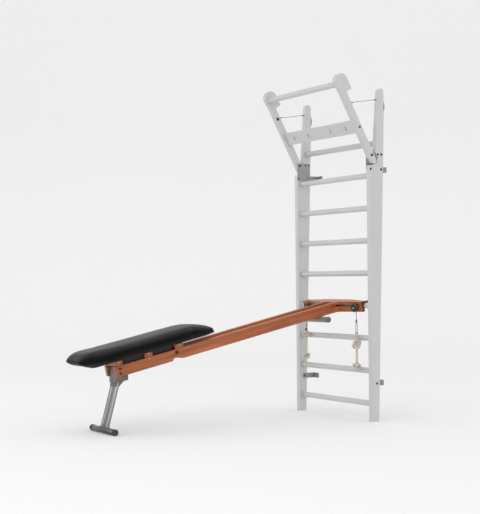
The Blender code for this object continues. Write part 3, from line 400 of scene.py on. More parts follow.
GREY_STEEL = metal("grey_steel", "grey_steel", (0.30, 0.305, 0.29), 0.42, 0.35)
PLATE_OUTLINE = rounded([(PLATE_FRONT, PLATE_LOW, 0.009), (PLATE_BACK, PLATE_LOW, 0.009),
                         (PLATE_BACK, PLATE_HIGH, 0.009), (PLATE_FRONT, PLATE_HIGH, 0.009)])

for side, sign in SIDES:
    piece(f"joint_plate_{side}", plank(PLATE_OUTLINE, PLATE_STEEL, sign * PLATE_X), GREY_STEEL, "wall_bars",
          f"pivot_plate_{side}", matrix=STAND, edge=0.0006)


# Wall straps: four angles bent from grey steel strip.
# One leg is bolted to the upright's inner face, the other has a hole for a wall screw.
STRAP = 0.004
STRAP_SCREW = 0.018
ALONG_Y = Matrix.Rotation(-pi / 2, 4, "X")
STRAP_STEEL = metal("strap_steel", "grey_steel", (0.27, 0.275, 0.27), 0.45, 0.35)

for level in ("upper", "lower"):
    for side, sign in SIDES:
        low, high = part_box(f"wall_bracket_{level}_{side}")
        end, face = sorted((abs(low.x), abs(high.x)))
        start = low.y - HOOK.y
        wall = high.y - HOOK.y
        outline = rounded([(face, start), (face, wall, 0.006), (end, wall), (end, wall - STRAP),
                           (face - STRAP, wall - STRAP, 0.0022), (face - STRAP, start)])
        middle = (low.z + high.z) / 2
        hole = drill(0.0038, 0.03, at(sign * (end + STRAP_SCREW), wall, middle) @ ALONG_Y)
        strap = moved(board([[(sign * x, y) for x, y in outline]], high.z - low.z), at(0, 0, middle))
        piece(f"wall_strap_{level}_{side}", strap, STRAP_STEEL, "wall_bars", f"wall_bracket_{level}_{side}",
              matrix=STAND, edge=0.0007, cuts=[hole])


# Pivot bolts: blackened steel bolts with a wide domed head, on which the arms turn.
# Each goes through the upright, the arm's round end and the pivot plate.
DARK_STEEL = metal("dark_steel", "dark_steel", (0.024, 0.024, 0.024), 0.5, 0.2)

for side, sign in SIDES:
    low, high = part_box(f"pivot_bolt_{side}")
    half = (high.x - low.x) / 2
    profile = [(0.0, half - 0.0013), (0.0030, half - 0.0013), (0.0038, half), (0.0060, half),
               (0.0084, half - 0.0012), (0.0088, half - 0.003), (0.005, half - 0.003), (0.005, 0.003 - half),
               (0.0075, 0.003 - half), (0.0075, 0.0008 - half), (0.0060, -half), (0.0, -half)]
    piece(f"arm_bolt_{side}", lathe(profile, 32), DARK_STEEL, "wall_bars", f"pivot_bolt_{side}",
          matrix=at(*(low + high) / 2) @ Matrix.Rotation(sign * pi / 2, 4, "Y"))


# Upright bolts: domed black heads outside and smaller nuts inside.
# They clamp the pivot plates and the wall straps to the uprights.
BOLT = 0.0078
NUT = 0.0058
PLATE_BOLTS = ((0.030, 1.729), (0.060, 1.730), (-0.027, 1.634), (0.057, 1.633))
PLATE_PIN = (0.028, 1.708)
STRAP_BOLT = (0.004, 0.245)


class Tree(Nodes):
    """A Geometry Nodes tree with named inputs for its sizes."""

    def __init__(self, name, **inputs):
        super().__init__(bpy.data.node_groups.new(name, "GeometryNodeTree"))
        face = self.tree.interface
        face.new_socket("Geometry", in_out="INPUT", socket_type="NodeSocketGeometry")
        face.new_socket("Geometry", in_out="OUTPUT", socket_type="NodeSocketGeometry")
        for title, kind in inputs.items():
            face.new_socket(title, in_out="INPUT", socket_type=f"NodeSocket{kind}")
        self.entry = self.tree.nodes.new("NodeGroupInput")
        self.exit = self.tree.nodes.new("NodeGroupOutput")

    def given(self, title):
        return Shade(self, self.entry.outputs[title])

    def grow(self, kind, output, inputs, **settings):
        return self.add("GeometryNode" + kind, output, inputs, **settings)

    def end(self, shape):
        real = self.grow("RealizeInstances", "Geometry", {"Geometry": shape})
        painted = self.grow("SetMaterial", "Geometry", {"Geometry": real, "Material": self.given("Material")})
        self.give(self.exit, 0, painted)


def grown(base, tree, **values):
    """The plain mesh that the tree makes from the base object, which is removed."""
    modifier = base.modifiers.new("grow", "NODES")
    modifier.node_group = tree.tree
    for item in tree.tree.interface.items_tree:
        if item.in_out == "INPUT" and item.name in values:
            modifier[item.identifier] = values[item.name]
    mesh = evaluated_mesh(base)
    bpy.data.objects.remove(base)
    return mesh


def head_tree():
    """Bolt heads on points, each turned to its point's own axis and scaled to its own radius."""
    tree = Tree("bolt_heads", Head="Object", Material="Material")
    axis = tree.grow("InputNamedAttribute", "Attribute", {"Name": "axis"}, data_type="FLOAT_VECTOR")
    size = tree.grow("InputNamedAttribute", "Attribute", {"Name": "size"}, data_type="FLOAT")
    turn = tree.add("FunctionNodeAlignRotationToVector", "Rotation", {"Vector": axis}, axis="Z")
    head = tree.grow("ObjectInfo", "Geometry", {"Object": tree.given("Head")})
    tree.end(tree.grow("InstanceOnPoints", "Instances",
                       {"Points": tree.given("Geometry"), "Instance": head, "Rotation": turn, "Scale": size}))
    return tree


HEAD_TREE = head_tree()


def heads(name, place, seats, material, body, flat=0.46):
    """Domed heads with a hollow crown; each seat is (point, outward axis, radius) in the place's frame."""
    head = link("head", lathe([(0.0, flat * 0.45), (0.42, flat * 0.45), (0.50, flat * 0.98), (0.66, flat),
                               (0.88, flat * 0.78), (1.0, flat * 0.35), (1.0, 0.0), (0.0, 0.0)], 24))
    cloud = bpy.data.meshes.new("seats")
    cloud.from_pydata([tuple(place @ Vector(point)) for point, axis, radius in seats], [], [])
    cloud.attributes.new("axis", "FLOAT_VECTOR", "POINT")
    cloud.attributes.new("size", "FLOAT", "POINT")
    for i, (point, axis, radius) in enumerate(seats):
        cloud.attributes["axis"].data[i].vector = (place.to_3x3() @ Vector(axis)).normalized()
        cloud.attributes["size"].data[i].value = radius
    mesh = grown(link("seats", cloud), HEAD_TREE, Head=head, Material=material)
    bpy.data.objects.remove(head)
    piece(name, mesh, material, body)


for side, sign in SIDES:
    out = (sign, 0, 0)
    back = (-sign, 0, 0)
    outer = sign * HALF_WIDTH
    seats = []
    for spot in PLATE_BOLTS:
        seats.append(((outer, *spot), out, BOLT))
        seats.append(((sign * (INNER_X - GAP - PLATE_STEEL), *spot), back, NUT))
    seats.append(((outer, *PLATE_PIN), out, 0.0042))
    seats.append(((outer, *STRAP_BOLT), out, 0.0074))
    seats.append(((sign * (INNER_X - GAP - STRAP), *STRAP_BOLT), back, 0.0060))
    heads(f"plate_bolts_{side}", STAND, seats, DARK_STEEL, "wall_bars")


# Stay anchors: bowed strips of blackened steel behind the tips of the uprights.
# Each is held by its feet, and a bolt in its crown takes the stay cable.
ANCHOR_Z = 2.044
ANCHOR_OUTER = ((0.0828, -0.044), (0.0862, -0.044), (0.0885, -0.034), (0.0937, -0.014), (0.0947, 0.0),
                (0.0937, 0.014), (0.0885, 0.034), (0.0862, 0.044), (0.0828, 0.044))
ANCHOR_INNER = ((0.0828, 0.035), (0.0856, 0.026), (0.0907, 0.010), (0.0914, 0.0), (0.0907, -0.010),
                (0.0856, -0.026), (0.0828, -0.035))

for side, sign in SIDES:
    strip = [(y, ANCHOR_Z + z) for y, z in ANCHOR_OUTER + ANCHOR_INNER]
    piece(f"stay_anchor_{side}", plank(strip, 0.022, sign * MIDDLE_X), DARK_STEEL, "wall_bars", matrix=STAND,
          edge=0.0005)
    heads(f"stay_anchor_bolt_{side}", STAND, [((sign * MIDDLE_X, 0.0945, ANCHOR_Z), (0, 1, 0), 0.0050)],
          DARK_STEEL, "wall_bars")


# Pull-up arms: two lacquered planks with a round lower end that turns in the upright's recess.
# The upper end is a hooked head. A blind bore takes the bar, and a round hole the pivot bolt.
FOLD_AXIS = Vector(JOINTS["pull_up_fold"]["pos_m"])
ARMS = Matrix.Translation(FOLD_AXIS) @ Matrix.Rotation(radians(28.1), 4, "X")
ARM_FRONT = -0.0225
ARM_BACK = 0.0178
HEAD_LOW = 0.4425
HEAD_TOP = 0.566
HEAD_FRONT = -0.0265
HEAD_BACK = 0.063
BAR_Y = -0.004
BAR_Z = 0.510
BAR_RADIUS = 0.020
PIVOT_BORE = 0.0053
ARM_OUTLINE = rounded([
    (ARM_FRONT, -0.0595, 0.0199), (ARM_BACK, -0.0595, 0.0199), (ARM_BACK, HEAD_LOW, 0.008),
    (HEAD_BACK, HEAD_LOW, 0.005), (HEAD_BACK, HEAD_TOP, 0.044), (HEAD_FRONT, HEAD_TOP, 0.042),
    (HEAD_FRONT, 0.490, 0.020), (ARM_FRONT, 0.462, 0.030)], radians(6))

for side, sign in SIDES:
    bores = [drill(BAR_RADIUS + GAP, 2 * SEAT_DEPTH, at(sign * INNER_X, BAR_Y, BAR_Z) @ ALONG_X),
             drill(PIVOT_BORE, 1.0)]
    piece(f"arm_{side}", plank(ARM_OUTLINE, THICKNESS, sign * MIDDLE_X), WHITE_WOOD, "pull_up_frame",
          f"pull_up_arm_{side}", matrix=ARMS, edge=0.0034, segments=4, cuts=bores)


# Pull-up bar and slotted board: a turned bar between the heads of the arms, and a plank below it.
# Both are lacquered beech. The board has four upright slots and is bolted through the arms.
BOARD_LOW = 0.165
BOARD_HIGH = 0.252
BOARD_MIDDLE = (BOARD_LOW + BOARD_HIGH) / 2
SLOT_PLACES = (-0.310, -0.135, 0.135, 0.310)
SLOT_RADIUS = 0.008
SLOT_RISE = 0.007

round_bar("grip_bar", BAR_RADIUS, "pull_up_frame", "pull_up_bar")
half = INNER_X - GAP
low = BOARD_LOW - BOARD_MIDDLE
outline = rounded([(-half, low), (half, low), (half, -low), (-half, -low)])
slots = [arc((x, SLOT_RISE), SLOT_RADIUS, 0, pi, 12) + arc((x, -SLOT_RISE), SLOT_RADIUS, pi, 2 * pi, 12)
         for x in SLOT_PLACES]
piece("slotted_board", board([outline, *slots], 0.022), WHITE_WOOD_ACROSS, "pull_up_frame", "crossboard",
      matrix=ARMS @ at(0, 0.001, BOARD_MIDDLE) @ Matrix.Rotation(pi / 2, 4, "X"), edge=0.0019)


# Arm bolts: a black bolt into each end of the slotted board, seen on the arm's outer face.
# A wider head on the inner face holds the end of the stay cable.
STAY_PLACE = 0.367

for side, sign in SIDES:
    heads(f"arm_bolts_{side}", ARMS, [((sign * HALF_WIDTH, 0.001, 0.200), (sign, 0, 0), 0.0074),
                                      ((sign * INNER_X, -0.005, STAY_PLACE), (-sign, 0, 0), 0.0105)],
          DARK_STEEL, "pull_up_frame")


# Stay cables: thin dark steel cables from the arms to the tips of the uprights.
# Each is stretched while the arms lean out, and a ferrule is crimped on at either end.
STAY_Z = 2.088
STAY_RADIUS = 0.0014
FERRULE = 0.0034
STAY_STEPS = 60


def join_rings(shape, rings):
    """Faces between each ring of vertices and the next."""
    for one, other in zip(rings, rings[1:]):
        for k in range(len(one)):
            j = (k + 1) % len(one)
            shape.faces.new((one[k], one[j], other[j], other[k]))


def close_ends(shape, rings):
    shape.faces.new(rings[0][::-1])
    shape.faces.new(rings[-1])


def sweep(path, radius, sides=12, closed=False, radii=None):
    """A round tube along a path, capped unless it is closed."""
    points = [Vector(p) for p in path]
    count = len(points)
    shape = bmesh.new()
    rings = []
    normal = (points[1] - points[0]).normalized().orthogonal().normalized()
    for i, point in enumerate(points):
        if closed:
            direction = (points[(i + 1) % count] - points[i - 1]).normalized()
        else:
            direction = (points[min(i + 1, count - 1)] - points[max(i - 1, 0)]).normalized()
        normal = (normal - direction * normal.dot(direction)).normalized()
        across = direction.cross(normal)
        size = radii[i] if radii else radius
        turns = [2 * pi * k / sides for k in range(sides)]
        rings.append([shape.verts.new(point + (normal * cos(a) + across * sin(a)) * size) for a in turns])
    join_rings(shape, rings)
    if closed:
        last = rings[-1]
        start = min(range(sides), key=lambda k: (last[k].co - rings[0][0].co).length)
        join_rings(shape, [last[start:] + last[:start], rings[0]])
    else:
        close_ends(shape, rings)
    return finished(shape)


for side, sign in SIDES:
    face = THROAT.lerp(TIP, (STAY_Z - THROAT.y) / (TIP.y - THROAT.y))
    start = ARMS @ Vector((sign * MIDDLE_X, 0.0189, STAY_PLACE))
    end = STAND @ Vector((sign * MIDDLE_X, face.x - 0.0006, STAY_Z))
    way = end - start
    radii = []
    for i in range(STAY_STEPS + 1):
        place = min(i, STAY_STEPS - i) * way.length / STAY_STEPS
        radii.append(FERRULE if 0.004 < place < 0.024 else STAY_RADIUS)
    path = [start + way * (i / STAY_STEPS) for i in range(STAY_STEPS + 1)]
    cable = sweep(path, STAY_RADIUS, 16, radii=radii)
    made = piece(f"stay_{side}", cable, DARK_STEEL, None, f"stay_cable_{side}", sharp=40)
    start + way * 0.05
    end - way * 0.05
    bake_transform(made)


# Bench rails: two planks of red-brown stained beech with fine dark pores and well rounded edges.
# Each has a saddle for the foot bar, a notch behind the leg, a sunk bolt and a short saw kerf.
SLOPE = Vector(JOINTS["trolley_slide"]["axis"])
BENCH_TILT = atan2(SLOPE.z, SLOPE.y)
BENCH = Matrix.Translation(HOOK) @ Matrix.Rotation(BENCH_TILT, 4, "X")
RAIL_OUTER = 0.080
RAIL_WIDTH = 0.030
RAIL_TOP = 0.0325
RAIL_LOW = -0.0345
RAIL_FOOT = -1.711
RAIL_HEAD = -0.0853
FOOT_BAR_PLACE = at(0, -0.1925, -0.0515)
BARE_FOOT_BAR = 0.0190
SUNK_BOLT = (-1.284, 0.013)


def block(low, high):
    """A box between two corners."""
    shape = bmesh.new()
    bmesh.ops.create_cube(shape, size=1.0)
    bmesh.ops.scale(shape, vec=[b - a for a, b in zip(low, high)], verts=shape.verts)
    bmesh.ops.translate(shape, vec=[(a + b) / 2 for a, b in zip(low, high)], verts=shape.verts)
    return finished(shape)


def red_wood(name, stretch):
    made = Finish(name, "red_brown_wood", -BENCH_TILT)
    figure = made.noise(1.0, (stretch[0] * 0.12, stretch[1] * 0.16, stretch[2] * 0.12), 3, 0.55, 1.2)
    pores = made.noise(1.0, stretch, 6, 0.65, 0.3)
    base = made.mix(figure.ramp(0.3, 0.72), (0.280, 0.066, 0.015), (0.500, 0.138, 0.036))
    made.set("Base Color", made.mix(pores.ramp(0.5, 0.78, 0.0, 0.75), base, (0.125, 0.027, 0.007)))
    made.set("Roughness", pores.ramp(0.3, 0.75, 0.30, 0.52))
    made.bump(pores, 0.25, 0.0005)
    made.set("Coat Weight", 0.10)
    made.set("Coat Roughness", 0.22)
    return made.material


RED_WOOD = red_wood("red_brown_wood", (210, 5, 210))
BRIGHT_STEEL = metal("bright_steel", "bright_steel", (0.58, 0.58, 0.57), 0.28, 1.0)
RAIL_OUTLINE = rounded([
    (RAIL_FOOT, RAIL_TOP), (RAIL_FOOT, RAIL_LOW), (-1.322, RAIL_LOW, 0.0075),
    (-1.312, RAIL_LOW + 0.014, 0.008), (-1.290, RAIL_LOW + 0.014, 0.010), (-1.268, RAIL_LOW + 0.006, 0.020),
    (-1.243, RAIL_LOW, 0.020), (RAIL_HEAD, RAIL_LOW), (RAIL_HEAD, RAIL_TOP)])

for side, sign in SIDES:
    outer = sign * RAIL_OUTER
    out = (sign, 0, 0)
    cuts = [drill(BARE_FOOT_BAR, 0.3, FOOT_BAR_PLACE @ ALONG_X),
            drill(0.0130, 0.016, at(outer, *SUNK_BOLT) @ ALONG_X),
            block((outer - 0.002, -1.72, 0.0113), (outer + 0.002, -1.683, 0.0127))]
    rail = plank(RAIL_OUTLINE, RAIL_WIDTH, sign * (RAIL_OUTER - RAIL_WIDTH / 2))
    piece(f"bench_rail_{side}", rail, RED_WOOD, "bench", f"rail_{side}", matrix=BENCH, edge=0.0058,
          segments=5, cuts=cuts)
    seats = [((outer, -1.680, 0.013), out, 0.0088), ((outer, -1.683, -0.014), out, 0.0080),
             ((outer - sign * 0.008, *SUNK_BOLT), out, 0.0088)]
    heads(f"rail_bolts_{side}", BENCH, seats, DARK_STEEL, "bench")
    heads(f"rail_screw_{side}", BENCH, [((outer, -1.4765, 0.024), out, 0.0036)], BRIGHT_STEEL, "bench", 0.3)


# Yoke: two shaped layers of the red-brown beech, glued up with spacers between them.
# The slot that they leave is the way of the cords, and a groove under the top layer lies on a rung.
GROOVE = 0.019
YOKE_END = 0.345
YOKE_FRONT = [(0.050, -0.050, 0.010), (0.050, -0.085), (0.080, -0.085), (0.080, -0.050, 0.030),
              (0.250, -0.0375, 0.060), (YOKE_END, -0.0375, 0.004)]
YOKE_SPACERS = ((0.0545, 0.0755, -0.0805, -0.045), (0.3208, 0.3408, -0.0333, -0.0232))
RED_WOOD_ACROSS = red_wood("red_brown_wood_across", (5, 210, 210))


def mirrored(half):
    return rounded(half + [(-corner[0], *corner[1:]) for corner in half[::-1]])


upper = board([mirrored(YOKE_FRONT + [(YOKE_END, -0.003, 0.004), (0.150, 0.028, 0.060)])], 0.016)
piece("yoke_top_layer", moved(upper, at(0, 0, 0.0245)), RED_WOOD_ACROSS, "bench", "yoke_upper", matrix=BENCH,
      edge=0.0029, segments=4, cuts=[drill(GROOVE, 0.8)])
lower = board([mirrored(YOKE_FRONT + [(YOKE_END, -GROOVE, 0.003)])], 0.036)
spacers = []
for side, sign in SIDES:
    for near, far, front, back in YOKE_SPACERS:
        left, right = sorted((sign * near, sign * far))
        spacers.append(block((left, front, -0.002), (right, back, 0.0162)))
piece("yoke_bottom_layer", moved(lower, at(0, 0, -0.0165)), RED_WOOD_ACROSS, "bench", "yoke_lower",
      matrix=BENCH, edge=0.0029, segments=4, joins=spacers)


# Hook plates: steel sheet with a bronzed paint, screwed to the two ends of the yoke.
# Their open throats drop over the rung and carry the head of the bench.
HOOK_SHEET = 0.0038
HOOK_GAP = 0.0004
BRONZE = metal("bronzed_steel", "dark_steel", (0.120, 0.036, 0.018), 0.45, 0.1)
HOOK_OUTLINE = rounded([
    (-0.0355, 0.0315, 0.006), (-0.0355, -0.0335, 0.004), (-GROOVE, -0.0335, 0.003),
    *arc((0, 0), GROOVE, pi, radians(-20), 40), (0.032, -0.010, 0.003), (0.032, 0.0315, 0.018)])

for side, sign in SIDES:
    hook = plank(HOOK_OUTLINE, HOOK_SHEET, sign * (YOKE_END + HOOK_GAP + HOOK_SHEET / 2))
    piece(f"hook_{side}", hook, BRONZE, "bench", f"hook_plate_{side}", matrix=BENCH, edge=0.0006)
    face = sign * (YOKE_END + HOOK_GAP + HOOK_SHEET)
    seats = [((face, -0.028, z), (sign, 0, 0), 0.0030) for z in (0.024, -0.026)]
    heads(f"hook_screws_{side}", BENCH, seats, DARK_STEEL, "bench", 0.3)


# Foot bar: an olive-grey painted tube that lies in the saddles under the rails.
# A moulded cap closes each end.
CROSS_TUBE_HALF = 0.176
CAP = 0.018
PLUG = 0.0145


def plastic(name, slot, colour, roughness):
    """Moulded plastic or rubber with a fine spark-eroded texture."""
    made = Finish(name, slot)
    speck = made.noise(1400.0, (1, 1, 1), 2)
    cloud = made.noise(30.0, (1, 1, 1), 2)
    made.set("Base Color", made.mix(cloud.ramp(0.3, 0.7), colour, tuple(share * 1.35 for share in colour)))
    made.set("Roughness", speck * 0.12 + (roughness - 0.06))
    made.bump(speck, 0.15, 0.0002)
    return made.material


def together(meshes):
    """Several meshes as one."""
    shape = bmesh.new()
    for mesh in meshes:
        shape.from_mesh(mesh)
    return finished(shape, outward=False)


def cross_tube(name, radius, bare, bend, matrix, material, cap_material, body, node):
    """A bare tube and its two end caps, their rims bent by the given radius."""
    half = CROSS_TUBE_HALF
    piece(f"{name}_tube", lathe(rod(bare, 2 * half - 0.030, 0.0005), 64), material, body, node,
          matrix=matrix @ ALONG_X)
    profile = [(0.0, half), *arc((radius - bend, half - bend), bend, pi / 2, 0, 10),
               (radius, half - CAP + 0.0006), (radius - 0.0006, half - CAP), (bare + 0.0001, half - CAP),
               (bare + 0.0001, half - PLUG), (0.0, half - PLUG)]
    caps = [lathe(profile, 64), moved(lathe(profile, 64), Matrix.Rotation(pi, 4, "X"))]
    piece(f"{name}_caps", moved(together(caps), ALONG_X), cap_material, body, node, matrix=matrix)


DARK_TUBE = metal("dark_tube", "dark_steel", (0.25, 0.235, 0.2), 0.36, 0.35)
TUBE_CAP = plastic("tube_cap", "black_plastic", (0.115, 0.11, 0.10), 0.5)
cross_tube("foot_bar", 0.0196, BARE_FOOT_BAR, 0.012, BENCH @ FOOT_BAR_PLACE, DARK_TUBE, TUBE_CAP, "bench",
           "foot_bar")


# Tracks: aluminium angles on which the trolley's wheels run.
# Each is screwed to the inner face of a rail with five small screws.
TRACK_X = 0.0497
TRACK_TOP = -0.005
TRACK_LOW = -0.018
TRACK_SHEET = 0.002
TRACK_SCREWS = (-1.50, -1.18, -0.86, -0.54, -0.22)
TRACK_SHELF = TRACK_X - 0.016
TRACK_WEB = TRACK_X - TRACK_SHEET
TRACK_UNDER = TRACK_TOP - TRACK_SHEET
TRACK_OUTLINE = rounded([(TRACK_X, TRACK_TOP), (TRACK_SHELF, TRACK_TOP), (TRACK_SHELF, TRACK_UNDER),
                         (TRACK_WEB, TRACK_UNDER, 0.001), (TRACK_WEB, TRACK_LOW), (TRACK_X, TRACK_LOW)])
ALUMINIUM = metal("aluminium", "aluminium", (0.60, 0.60, 0.61), 0.36, 1.0, (400, 4, 400), 0.08)

for side, sign in SIDES:
    angle = board([[(sign * x, y) for x, y in TRACK_OUTLINE]], 1.490)
    piece(f"track_angle_{side}", angle, ALUMINIUM, "bench", f"track_{side}",
          matrix=BENCH @ at(0, -0.845, 0) @ Matrix.Rotation(pi / 2, 4, "X"), edge=0.0003, segments=2)
    seats = [((sign * TRACK_WEB, y, -0.0125), (-sign, 0, 0), 0.0026) for y in TRACK_SCREWS]
    heads(f"track_screws_{side}", BENCH, seats, BRIGHT_STEEL, "bench", 0.3)


# Leg bracket: a channel folded from olive-grey painted sheet steel, fixed between the rail ends.
# The hinge pin goes through its two cheeks and has a head at either end.
LEG_AXIS = Vector(JOINTS["leg_fold"]["pos_m"])
LEG = Matrix.Translation(LEG_AXIS)
LEG_SHEET = 0.003
LEG_PAINT = metal("leg_paint", "grey_steel", (0.150, 0.148, 0.128), 0.42, 0.4)

low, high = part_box("leg_bracket")
half = high.x
web = low.y - LEG_AXIS.y
back = high.y - LEG_AXIS.y
outline = rounded([(web, -0.038, 0.004), (back, -0.020, 0.004), (back, 0.022, 0.006),
                   (back - 0.030, 0.052, 0.010), (back - 0.050, 0.064, 0.008), (web, 0.064, 0.006)])
hollow = block((LEG_SHEET - half, web + LEG_SHEET, -0.2), (half - LEG_SHEET, back + 0.1, 0.2))
piece("leg_channel", plank(outline, 2 * half, 0), LEG_PAINT, "bench", "leg_bracket", matrix=LEG, edge=0.0009,
      cuts=[hollow, drill(PIVOT_BORE, 0.3)])
end = half + 0.0023
start = half + GAP
pin = lathe(doubled([(0.0, end), (0.0062, end), (0.0075, end - 0.0008), (0.0075, start), (0.005, start)]), 32)
piece("hinge_pin", pin, LEG_PAINT, "bench", "leg_pin", matrix=LEG @ ALONG_X, slot="bright_steel")


# Leg: two zinc-plated steel tubes, with painted reflection: bright middles and painted dark sides.
# They are welded to a T-foot with rubber caps and to two painted ears with a barrel on the hinge pin.
# A cross plate joins the ears.
TUBE_X = 0.032
T_FOOT_RADIUS = 0.0195
BARREL_HALF = 0.044


def leg_steel():
    made = Finish("leg_steel", "grey_steel")
    # Painted reflection: the colour darkens where the surface turns away from the view.
    edge = made.add("ShaderNodeLayerWeight", "Facing", {"Blend": 0.35})
    cloud = made.noise(1.0, (30, 8, 8), 2)
    bright = made.mix(cloud.ramp(0.3, 0.7), (0.36, 0.36, 0.347), (0.42, 0.42, 0.405))
    made.set("Base Color", made.mix(edge.ramp(0.05, 0.42), bright, (0.055, 0.055, 0.048)))
    made.set("Roughness", cloud.ramp(0.3, 0.7, 0.20, 0.30))
    made.set("Metallic", 0.85)
    return made.material


LEG_STEEL = leg_steel()
RUBBER = plastic("dark_rubber", "black_plastic", (0.030, 0.030, 0.031), 0.68)
foot = Vector((0, -0.1206, T_FOOT_RADIUS - LEG_AXIS.z))
base = foot + Vector((0, 0.003, 0))
up = Vector((0, -0.0405, -0.038)) - base
top = base + up * ((-0.006 - base.z) / up.z)
lean = Matrix.Rotation(-atan2(up.y, up.z), 4, "X")
cross_tube("t_foot", T_FOOT_RADIUS, 0.0185, 0.004, LEG @ at(*foot), LEG_STEEL, RUBBER, "leg", "leg_frame")
ear = rounded([(0.012, -0.012, 0.011), (top.y - 0.002, -0.060, 0.004), (top.y - 0.022, -0.056, 0.006),
               (top.y - 0.004, 0.004, 0.006), (-0.012, 0.012, 0.011), (0.012, 0.012, 0.011)])
for side, sign in SIDES:
    aside = Vector((sign * TUBE_X, 0, 0))
    tube = lathe(rod(0.013, (top - base).length, 0.0015), 56)
    piece(f"leg_tube_{side}", tube, LEG_STEEL, "leg", "leg_frame",
          matrix=LEG @ at(*(top + base) / 2 + aside) @ lean)
    ring = lathe([(0.0145, 0.003), (0.0165, 0.001), (0.0178, -0.003), (0.0125, -0.003), (0.0125, 0.003)], 40)
    weld = base + up.normalized() * T_FOOT_RADIUS + aside
    piece(f"leg_weld_{side}", ring, LEG_STEEL, "leg", matrix=LEG @ at(*weld) @ lean)
    piece(f"leg_ear_{side}", plank(ear, 0.016, sign * TUBE_X), LEG_PAINT, "leg", "leg_frame", matrix=LEG,
          edge=0.0012, cuts=[drill(PIVOT_BORE, 0.3)])
barrel = lathe([(0.010, BARREL_HALF), (0.010, -BARREL_HALF), (PIVOT_BORE, -BARREL_HALF),
                (PIVOT_BORE, BARREL_HALF)], 48)
piece("hinge_barrel", barrel, LEG_PAINT, "leg", "leg_frame", matrix=LEG @ ALONG_X, edge=0.0006)
plate = block((-BARREL_HALF, top.y - 0.0255, -0.060), (BARREL_HALF, top.y - 0.0095, -0.0395))
piece("leg_cross_plate", plate, LEG_PAINT, "leg", "leg_frame", matrix=LEG, edge=0.002)


# Battens: three red-brown beech blocks across the rails, which the seat is screwed down on.
# A small bright screw shows in each of their ends.
BATTENS = (("foot", -1.705, 0.049), ("middle", -1.504, 0.056), ("head", -1.289, 0.062))
BATTEN_HALF = 0.080

for name, foot_end, width in BATTENS:
    piece(f"{name}_batten", block((-BATTEN_HALF, foot_end, 0.0335), (BATTEN_HALF, foot_end + width, 0.0620)),
          RED_WOOD_ACROSS, "trolley", f"batten_{name}", matrix=BENCH, edge=0.0022, segments=4)
    middle = foot_end + width / 2
    seats = [((sign * BATTEN_HALF, middle, 0.0535), (sign, 0, 0), 0.0036) for side, sign in SIDES]
    heads(f"{name}_batten_screws", BENCH, seats, BRIGHT_STEEL, "trolley", 0.3)


# Keel: a beech block under the battens, between the rails, bored for the two wheel axles.
# Two wire eyes in its head end take the cords.
WHEELS = ((1, "wheels_front", -1.560), (2, "wheels_rear", -1.262))
WHEEL_Z = 0.0073
KEEL_HALF = 0.028
EYE_CENTRE = (-1.2235, 0.020)
EYE_RADIUS = 0.0045

bores = [drill(0.0033, 0.2, at(0, y, WHEEL_Z) @ ALONG_X) for number, body, y in WHEELS]
piece("keel_block", block((-KEEL_HALF, -1.595, 0.001), (KEEL_HALF, -1.225, 0.0332)), RED_WOOD, "trolley",
      "keel", matrix=BENCH, edge=0.002, cuts=bores)
for side, sign in SIDES:
    eye = [(sign * 0.021, EYE_CENTRE[0] + EYE_RADIUS * sin(a), EYE_CENTRE[1] + EYE_RADIUS * cos(a))
           for a in (2 * pi * i / 24 for i in range(24))]
    piece(f"cord_eye_{side}", sweep(eye, 0.0011, 10, closed=True), BRIGHT_STEEL, "trolley", matrix=BENCH)


# Wheels: two sets, each a grey plastic axle with a hub at either end and two black tyres.
# They turn in the keel and run on the tracks.
TYRE_INNER = 0.036
TYRE_OUTER = 0.046
GREY_PLASTIC = plastic("grey_plastic", "black_plastic", (0.075, 0.078, 0.080), 0.5)
BLACK_PLASTIC = plastic("black_plastic", "black_plastic", (0.017, 0.017, 0.018), 0.42)
TYRE = [(0.0085, TYRE_OUTER), (0.0105, TYRE_OUTER), (0.0118, TYRE_OUTER - 0.001), (0.012, TYRE_OUTER - 0.003),
        (0.012, TYRE_INNER + 0.003), (0.0118, TYRE_INNER + 0.001), (0.0105, TYRE_INNER), (0.0085, TYRE_INNER)]
HUB = [(0.0, TYRE_OUTER - 0.0008), (0.0085, TYRE_OUTER - 0.0008), (0.0085, TYRE_INNER + 0.0005),
       (0.006, TYRE_INNER), (0.006, 0.029), (0.003, 0.029)]

for number, body, y in WHEELS:
    axle = BENCH @ at(0, y, WHEEL_Z) @ ALONG_X
    piece(f"wheel_axle_{number}", lathe(doubled(HUB), 40), GREY_PLASTIC, body, f"wheel_set_{number}",
          matrix=axle)
    tyres = together([lathe(TYRE, 48), moved(lathe(TYRE, 48), Matrix.Rotation(pi, 4, "X"))])
    piece(f"wheel_tyres_{number}", tyres, BLACK_PLASTIC, body, f"wheel_set_{number}", matrix=axle)


# Seat board: plywood with rounded corners on the battens, its underside in black cloth.
# Two dark blocks fill the gaps between the battens: painted shade under the pad.
# Black cloth under the board, and also the colour of the painted shade blocks.
UNDER_CLOTH_AND_SHADE = plastic("under_cloth", "plywood", (0.020, 0.020, 0.021), 0.8)
BOARD_HALF = 0.088
BOARD_FOOT = -1.850
BOARD_HEAD = -0.979

outline = rounded([(-BOARD_HALF, BOARD_FOOT, 0.03), (BOARD_HALF, BOARD_FOOT, 0.03),
                   (BOARD_HALF, BOARD_HEAD - 0.08, 0.05), (0.052, BOARD_HEAD, 0.02),
                   (-0.052, BOARD_HEAD, 0.02), (-BOARD_HALF, BOARD_HEAD - 0.08, 0.05)])
piece("seat_board", moved(board([outline], 0.0130), at(0, 0, 0.0690)), UNDER_CLOTH_AND_SHADE, "trolley", "pad_board",
      matrix=BENCH, edge=0.0015)
# Painted shade: near-black blocks between the battens darken the gaps under the pad.
for number, foot_end, head_end in ((1, -1.6550, -1.5050), (2, -1.4470, -1.3020)):
    shade_block = block((-0.066, foot_end, 0.0338), (0.066, head_end, 0.0622))
    piece(f"seat_packing_{number}", shade_block, UNDER_CLOTH_AND_SHADE, "trolley", matrix=BENCH, edge=0.003)
